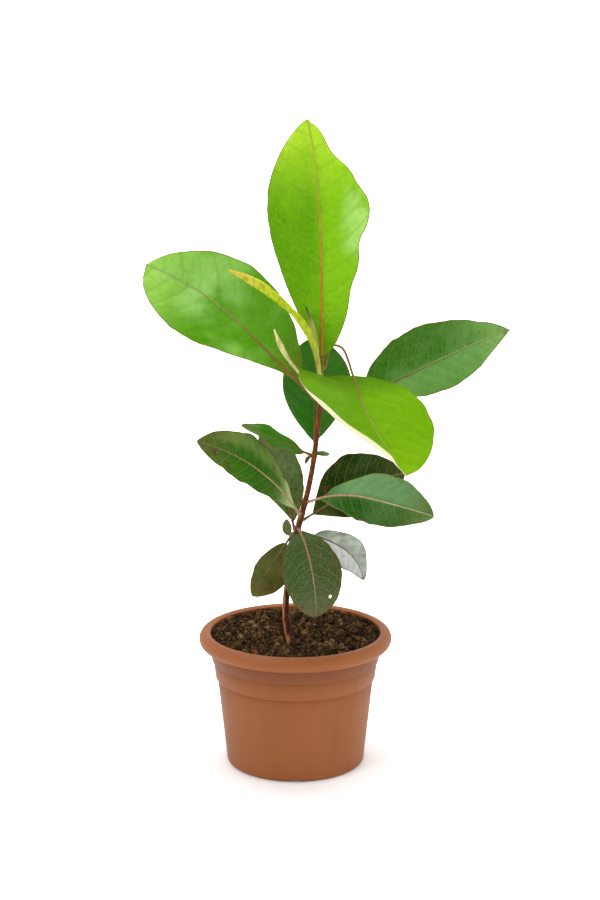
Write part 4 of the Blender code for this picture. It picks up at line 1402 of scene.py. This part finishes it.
def rib_finish(leaf):
    """Petiole, midrib and side veins: reddish at the stem, paler towards the tip."""
    finish = Finish(leaf.name + "_rib", 0.5, leaf.rib_near)
    finish.layer(finish.attribute("tone"), 0.25, 0.9, leaf.rib_far)
    grain = finish.noise(500.0, 3.0, stretch=(1.0, 1.0, 0.2))
    finish.layer(grain, 0.4, 0.7, RIB_GRAIN, 0.0, 0.35)
    finish.blend(finish.attribute("side_vein"), finish.mix(0.45, leaf.vein, leaf.left_green))
    return finish.done(finish.band(grain, 0.3, 0.7, 0.42, 0.56), (grain, 0.2, 0.0004),
                       specular_ior_level=0.3, subsurface_weight=0.08, subsurface_scale=0.002)


def rib_lines(leaf, blade):
    """Centre lines of the petiole with its midrib and of every side vein, with their thickness."""
    lines = []
    root = stem_point(leaf.height)
    main = []
    count = 90
    for i in range(count + 1):
        share = i / count
        place, left, face = blade.frame(share)
        t = (share * blade.total - leaf.petiole) / leaf.blade
        if t > 0.0:
            place = place + left * leaf.bend * t ** 4 + face * (0.1 - 0.2 * (1.0 - t))
            thick = 0.55 + 0.9 * (1.0 - t)
        else:
            near = smooth_step(10.0, 0.0, share * blade.total)
            thick = PETIOLE_DIAMETER / 2 * (0.78 + 0.35 * near)
        scale = min(1.0, leaf.blade / 90.0)
        main.append((place, max(0.25, thick * (scale if t > 0.0 else 1.0)), share, 0.0))
    first = main[0][0]
    lines.append([(root.lerp(first, 0.35), 2.0, 0.0, 0.0), *main])
    for side in (1, -1):
        for number in range(1, int(leaf.blade / leaf.spacing) + 1):
            vein = side_vein(leaf, blade, side, number)
            if len(vein) > 3:
                lines.append(vein)
    return lines


def side_vein(leaf, blade, side, number):
    """Centre line of one side vein, from the midrib towards the margin, thinner as it goes."""
    vein = []
    for step in range(26):
        distance = 0.3 + step * leaf.left[0] / 24.0
        t = blade.vein_run(number, distance, side)
        if not 0.03 < t < 0.97:
            break
        width = blade.width(side, t)
        share = distance / width
        if share > 0.9 or distance > width - leaf.curl - 2.0:
            break
        place, up = blade.point(t, side * share)
        thick = 0.40 * (1.0 - 0.75 * share) * (1.0 - 0.6 * t) * min(1.0, leaf.blade / 110.0)
        vein.append((place - up * 0.14, max(0.16, thick), blade.share_at(t), 1.0))
    return vein


def grow_ribs(leaf, blade):
    """Runs round ribs along all the centre lines, each point with its own thickness."""
    points = []
    edges = []
    layers = {"thickness": [], "tone": [], "side_vein": []}
    for line in rib_lines(leaf, blade):
        for i, (place, thick, tone, side) in enumerate(line):
            if i:
                edges.append((len(points) - 1, len(points)))
            points.append(place)
            for label, value in zip(layers, (thick * MM, tone, side)):
                layers[label].append(value)
    obj = new_object(leaf.name + "_ribs", points, [], layers, edges=edges)
    growth = Growth(leaf.name + "_rib_growth")
    sides = growth.knob("Sides", "NodeSocketInt", RIB_SIDES)
    curve = growth.node("GeometryNodeMeshToCurve", {"Mesh": growth.given.outputs[0]}).outputs[0]
    sized = growth.node("GeometryNodeSetCurveRadius",
                        {"Curve": curve, "Radius": growth.read("thickness")}).outputs[0]
    ring = growth.node("GeometryNodeCurvePrimitiveCircle", {"Resolution": sides, "Radius": 1.0}).outputs[0]
    solid = growth.node("GeometryNodeCurveToMesh", {"Curve": sized, "Profile Curve": ring,
                                                    "Fill Caps": True})
    if "Scale" in solid.inputs:
        growth.feed(growth.read("thickness"), solid.inputs["Scale"])
    smooth = growth.node("GeometryNodeSetShadeSmooth", {"Geometry": solid.outputs[0]}).outputs[0]
    growth.run(obj, smooth, rib_finish(leaf))
    keep(obj, None)


# ---------------------------------------------------------------- shoots
def shoot_finish(shoot):
    """Skin of a shoot: three colours along it, fine streaks and a darker seam."""
    finish = Finish(shoot.name + "_skin", 0.45, shoot.foot)
    along = finish.attribute("along")
    finish.layer(along, 0.0, 0.4, shoot.middle)
    finish.layer(along, 0.6, 0.95, shoot.tip)
    streak = finish.noise(260.0, 4.0, stretch=(1.0, 1.0, 0.35))
    finish.layer(streak, 0.45, 0.66, shoot.streak, 0.0, 0.7)
    finish.layer(finish.attribute("seam"), 0.0, 0.12, shoot.streak, 0.8, 0.0)
    return finish.done(finish.band(streak, 0.3, 0.7, 0.4, 0.52), (streak, 0.3, 0.0005),
                       specular_ior_level=0.25, subsurface_weight=0.1, subsurface_scale=0.002)


def build_shoot(shoot):
    """A shoot wrapped once round itself, so that the outer edge makes a small winding ledge."""
    start = start_place(shoot.height, shoot.heading[0], shoot.lift[0], shoot.radii[0])
    stations = even_stations(shoot.heading)
    point = start.copy()
    course = [stem_point(shoot.height).lerp(start, 0.35), start]
    radii = [shoot.radii[0] * 0.9, shoot.radii[0]]
    for i in range(SHOOT_ROWS):
        middle = (i + 0.5) / SHOOT_ROWS
        heading = read_along(shoot.heading, stations, middle)
        lift = read_along(shoot.lift, stations, middle)
        point = point + direction(heading, lift) * (shoot.length / SHOOT_ROWS)
        course.append(point.copy())
        radii.append(read_along(shoot.radii, even_stations(shoot.radii), (i + 1) / SHOOT_ROWS))
    near = [radii[max(0, i - 3):i + 4] for i in range(len(radii))]
    radii = [sum(some) / len(some) for some in near]
    radii[-1] = shoot.radii[-1]

    def wrapped(share, turn):
        return (turn + shoot.turns * share) % 1.0

    def ledge(share, turn):
        bulk = 0.08 * uneven(share * 9.0, turn * 2.0, shoot.length)
        return 1.0 + bulk + shoot.ledge * (wrapped(share, turn) - 0.5)

    points, faces = tube(course, radii, SHOOT_SIDES, ledge)
    along = []
    seam = []
    for i in range(len(course)):
        for k in range(SHOOT_SIDES):
            along.append(i / (len(course) - 1))
            seam.append(wrapped(i / (len(course) - 1), k / SHOOT_SIDES))
    layers = {"along": [*along, 0.0, 1.0], "seam": [*seam, 0.5, 0.5]}
    obj = new_object(shoot.name + "_skin", points, faces, layers, shoot_finish(shoot))
    keep(obj, shoot.name)


# ---------------------------------------------------------------- studio
def build_sweep():
    """A pale floor that curves up into a wall all round, beyond every camera. It glows as painted light,
    brighter to the camera than to the plant, not at all under the pot, and a soft painted shadow dims it
    round the pot.
    """
    finish = Finish("studio_paper", 0.9, (250, 250, 249))
    finish.blend(finish.noise(40.0, 2.0), (253, 253, 252))
    finish.feed(finish.skin, finish.shader.inputs["Base Color"])
    finish.set(specular_ior_level=0.2, emission_color=(1.0, 1.0, 1.0, 1.0))
    reach = finish.node("ShaderNodeVectorMath", operation="LENGTH")
    finish.feed(finish.place, reach.inputs[0])
    away = reach.outputs["Value"]
    # Painted light: the floor glows, except under the pot; to the camera it glows more, and dimmer near the
    # pot as a painted shadow.
    glow = finish.band(away, 0.066, 0.082, 0.0, PAPER_GLOW)
    seen = finish.math("ADD", glow, finish.band(away, 0.085, 0.3, 0.06, 0.9))
    looked_at = finish.node("ShaderNodeLightPath").outputs["Is Camera Ray"]
    finish.feed(finish.mix_value(looked_at, glow, seen), finish.shader.inputs["Emission Strength"])
    profile = [(PAPER_FLAT + PAPER_BEND * math.sin(math.radians(a)),
                PAPER_BEND - PAPER_BEND * math.cos(math.radians(a))) for a in range(0, 91, 6)]
    profile.append((PAPER_FLAT + PAPER_BEND, PAPER_TOP))
    points = [around(radius, k, PAPER_SIDES, height) for radius, height in profile
              for k in range(PAPER_SIDES)]
    faces = [tuple(range(PAPER_SIDES))]
    faces += [quad(row * PAPER_SIDES, k, PAPER_SIDES) for row in range(len(profile) - 1)
              for k in range(PAPER_SIDES)]
    new_object("studio_floor", points, faces, material=finish.material)


def area_light(name, place, target, width, height, watts):
    light = bpy.data.lights.new(name, "AREA")
    light.shape = "RECTANGLE"
    light.size = width
    light.size_y = height
    light.energy = watts
    obj = add_to_scene(name, light)
    obj.location = place
    obj.rotation_euler = (Vector(target) - Vector(place)).to_track_quat("-Z", "Y").to_euler()


def light_studio():
    for light in LIGHTS:
        area_light(*light)
    world = bpy.data.worlds.new("soft_room")
    world.use_nodes = True
    background = world.node_tree.nodes["Background"]
    background.inputs["Color"].default_value = (1.0, 1.0, 1.0, 1.0)
    background.inputs["Strength"].default_value = ROOM_LIGHT
    bpy.context.scene.world = world
    bpy.context.scene.view_settings.view_transform = "Standard"


def place_camera():
    camera = bpy.data.cameras.new("front_camera")
    camera.lens = CAMERA_LENS
    camera.sensor_width = CAMERA_SENSOR
    obj = add_to_scene("front_camera", camera)
    obj.location = CAMERA_PLACE
    obj.rotation_euler = (math.radians(90.0 - CAMERA_TILT), 0.0, 0.0)
    bpy.context.scene.camera = obj


def main():
    build_pot()
    build_stem()
    soil = soil_finish()
    build_soil(soil)
    for kind in CRUMBS:
        strew(kind, soil)
    for number, leaf in enumerate(LEAVES):
        blade = Blade(leaf, number)
        build_blade(leaf, blade, blade_finish(leaf))
        grow_ribs(leaf, blade)
    for shoot in SHOOTS:
        build_shoot(shoot)
    build_sweep()
    light_studio()
    place_camera()


main()
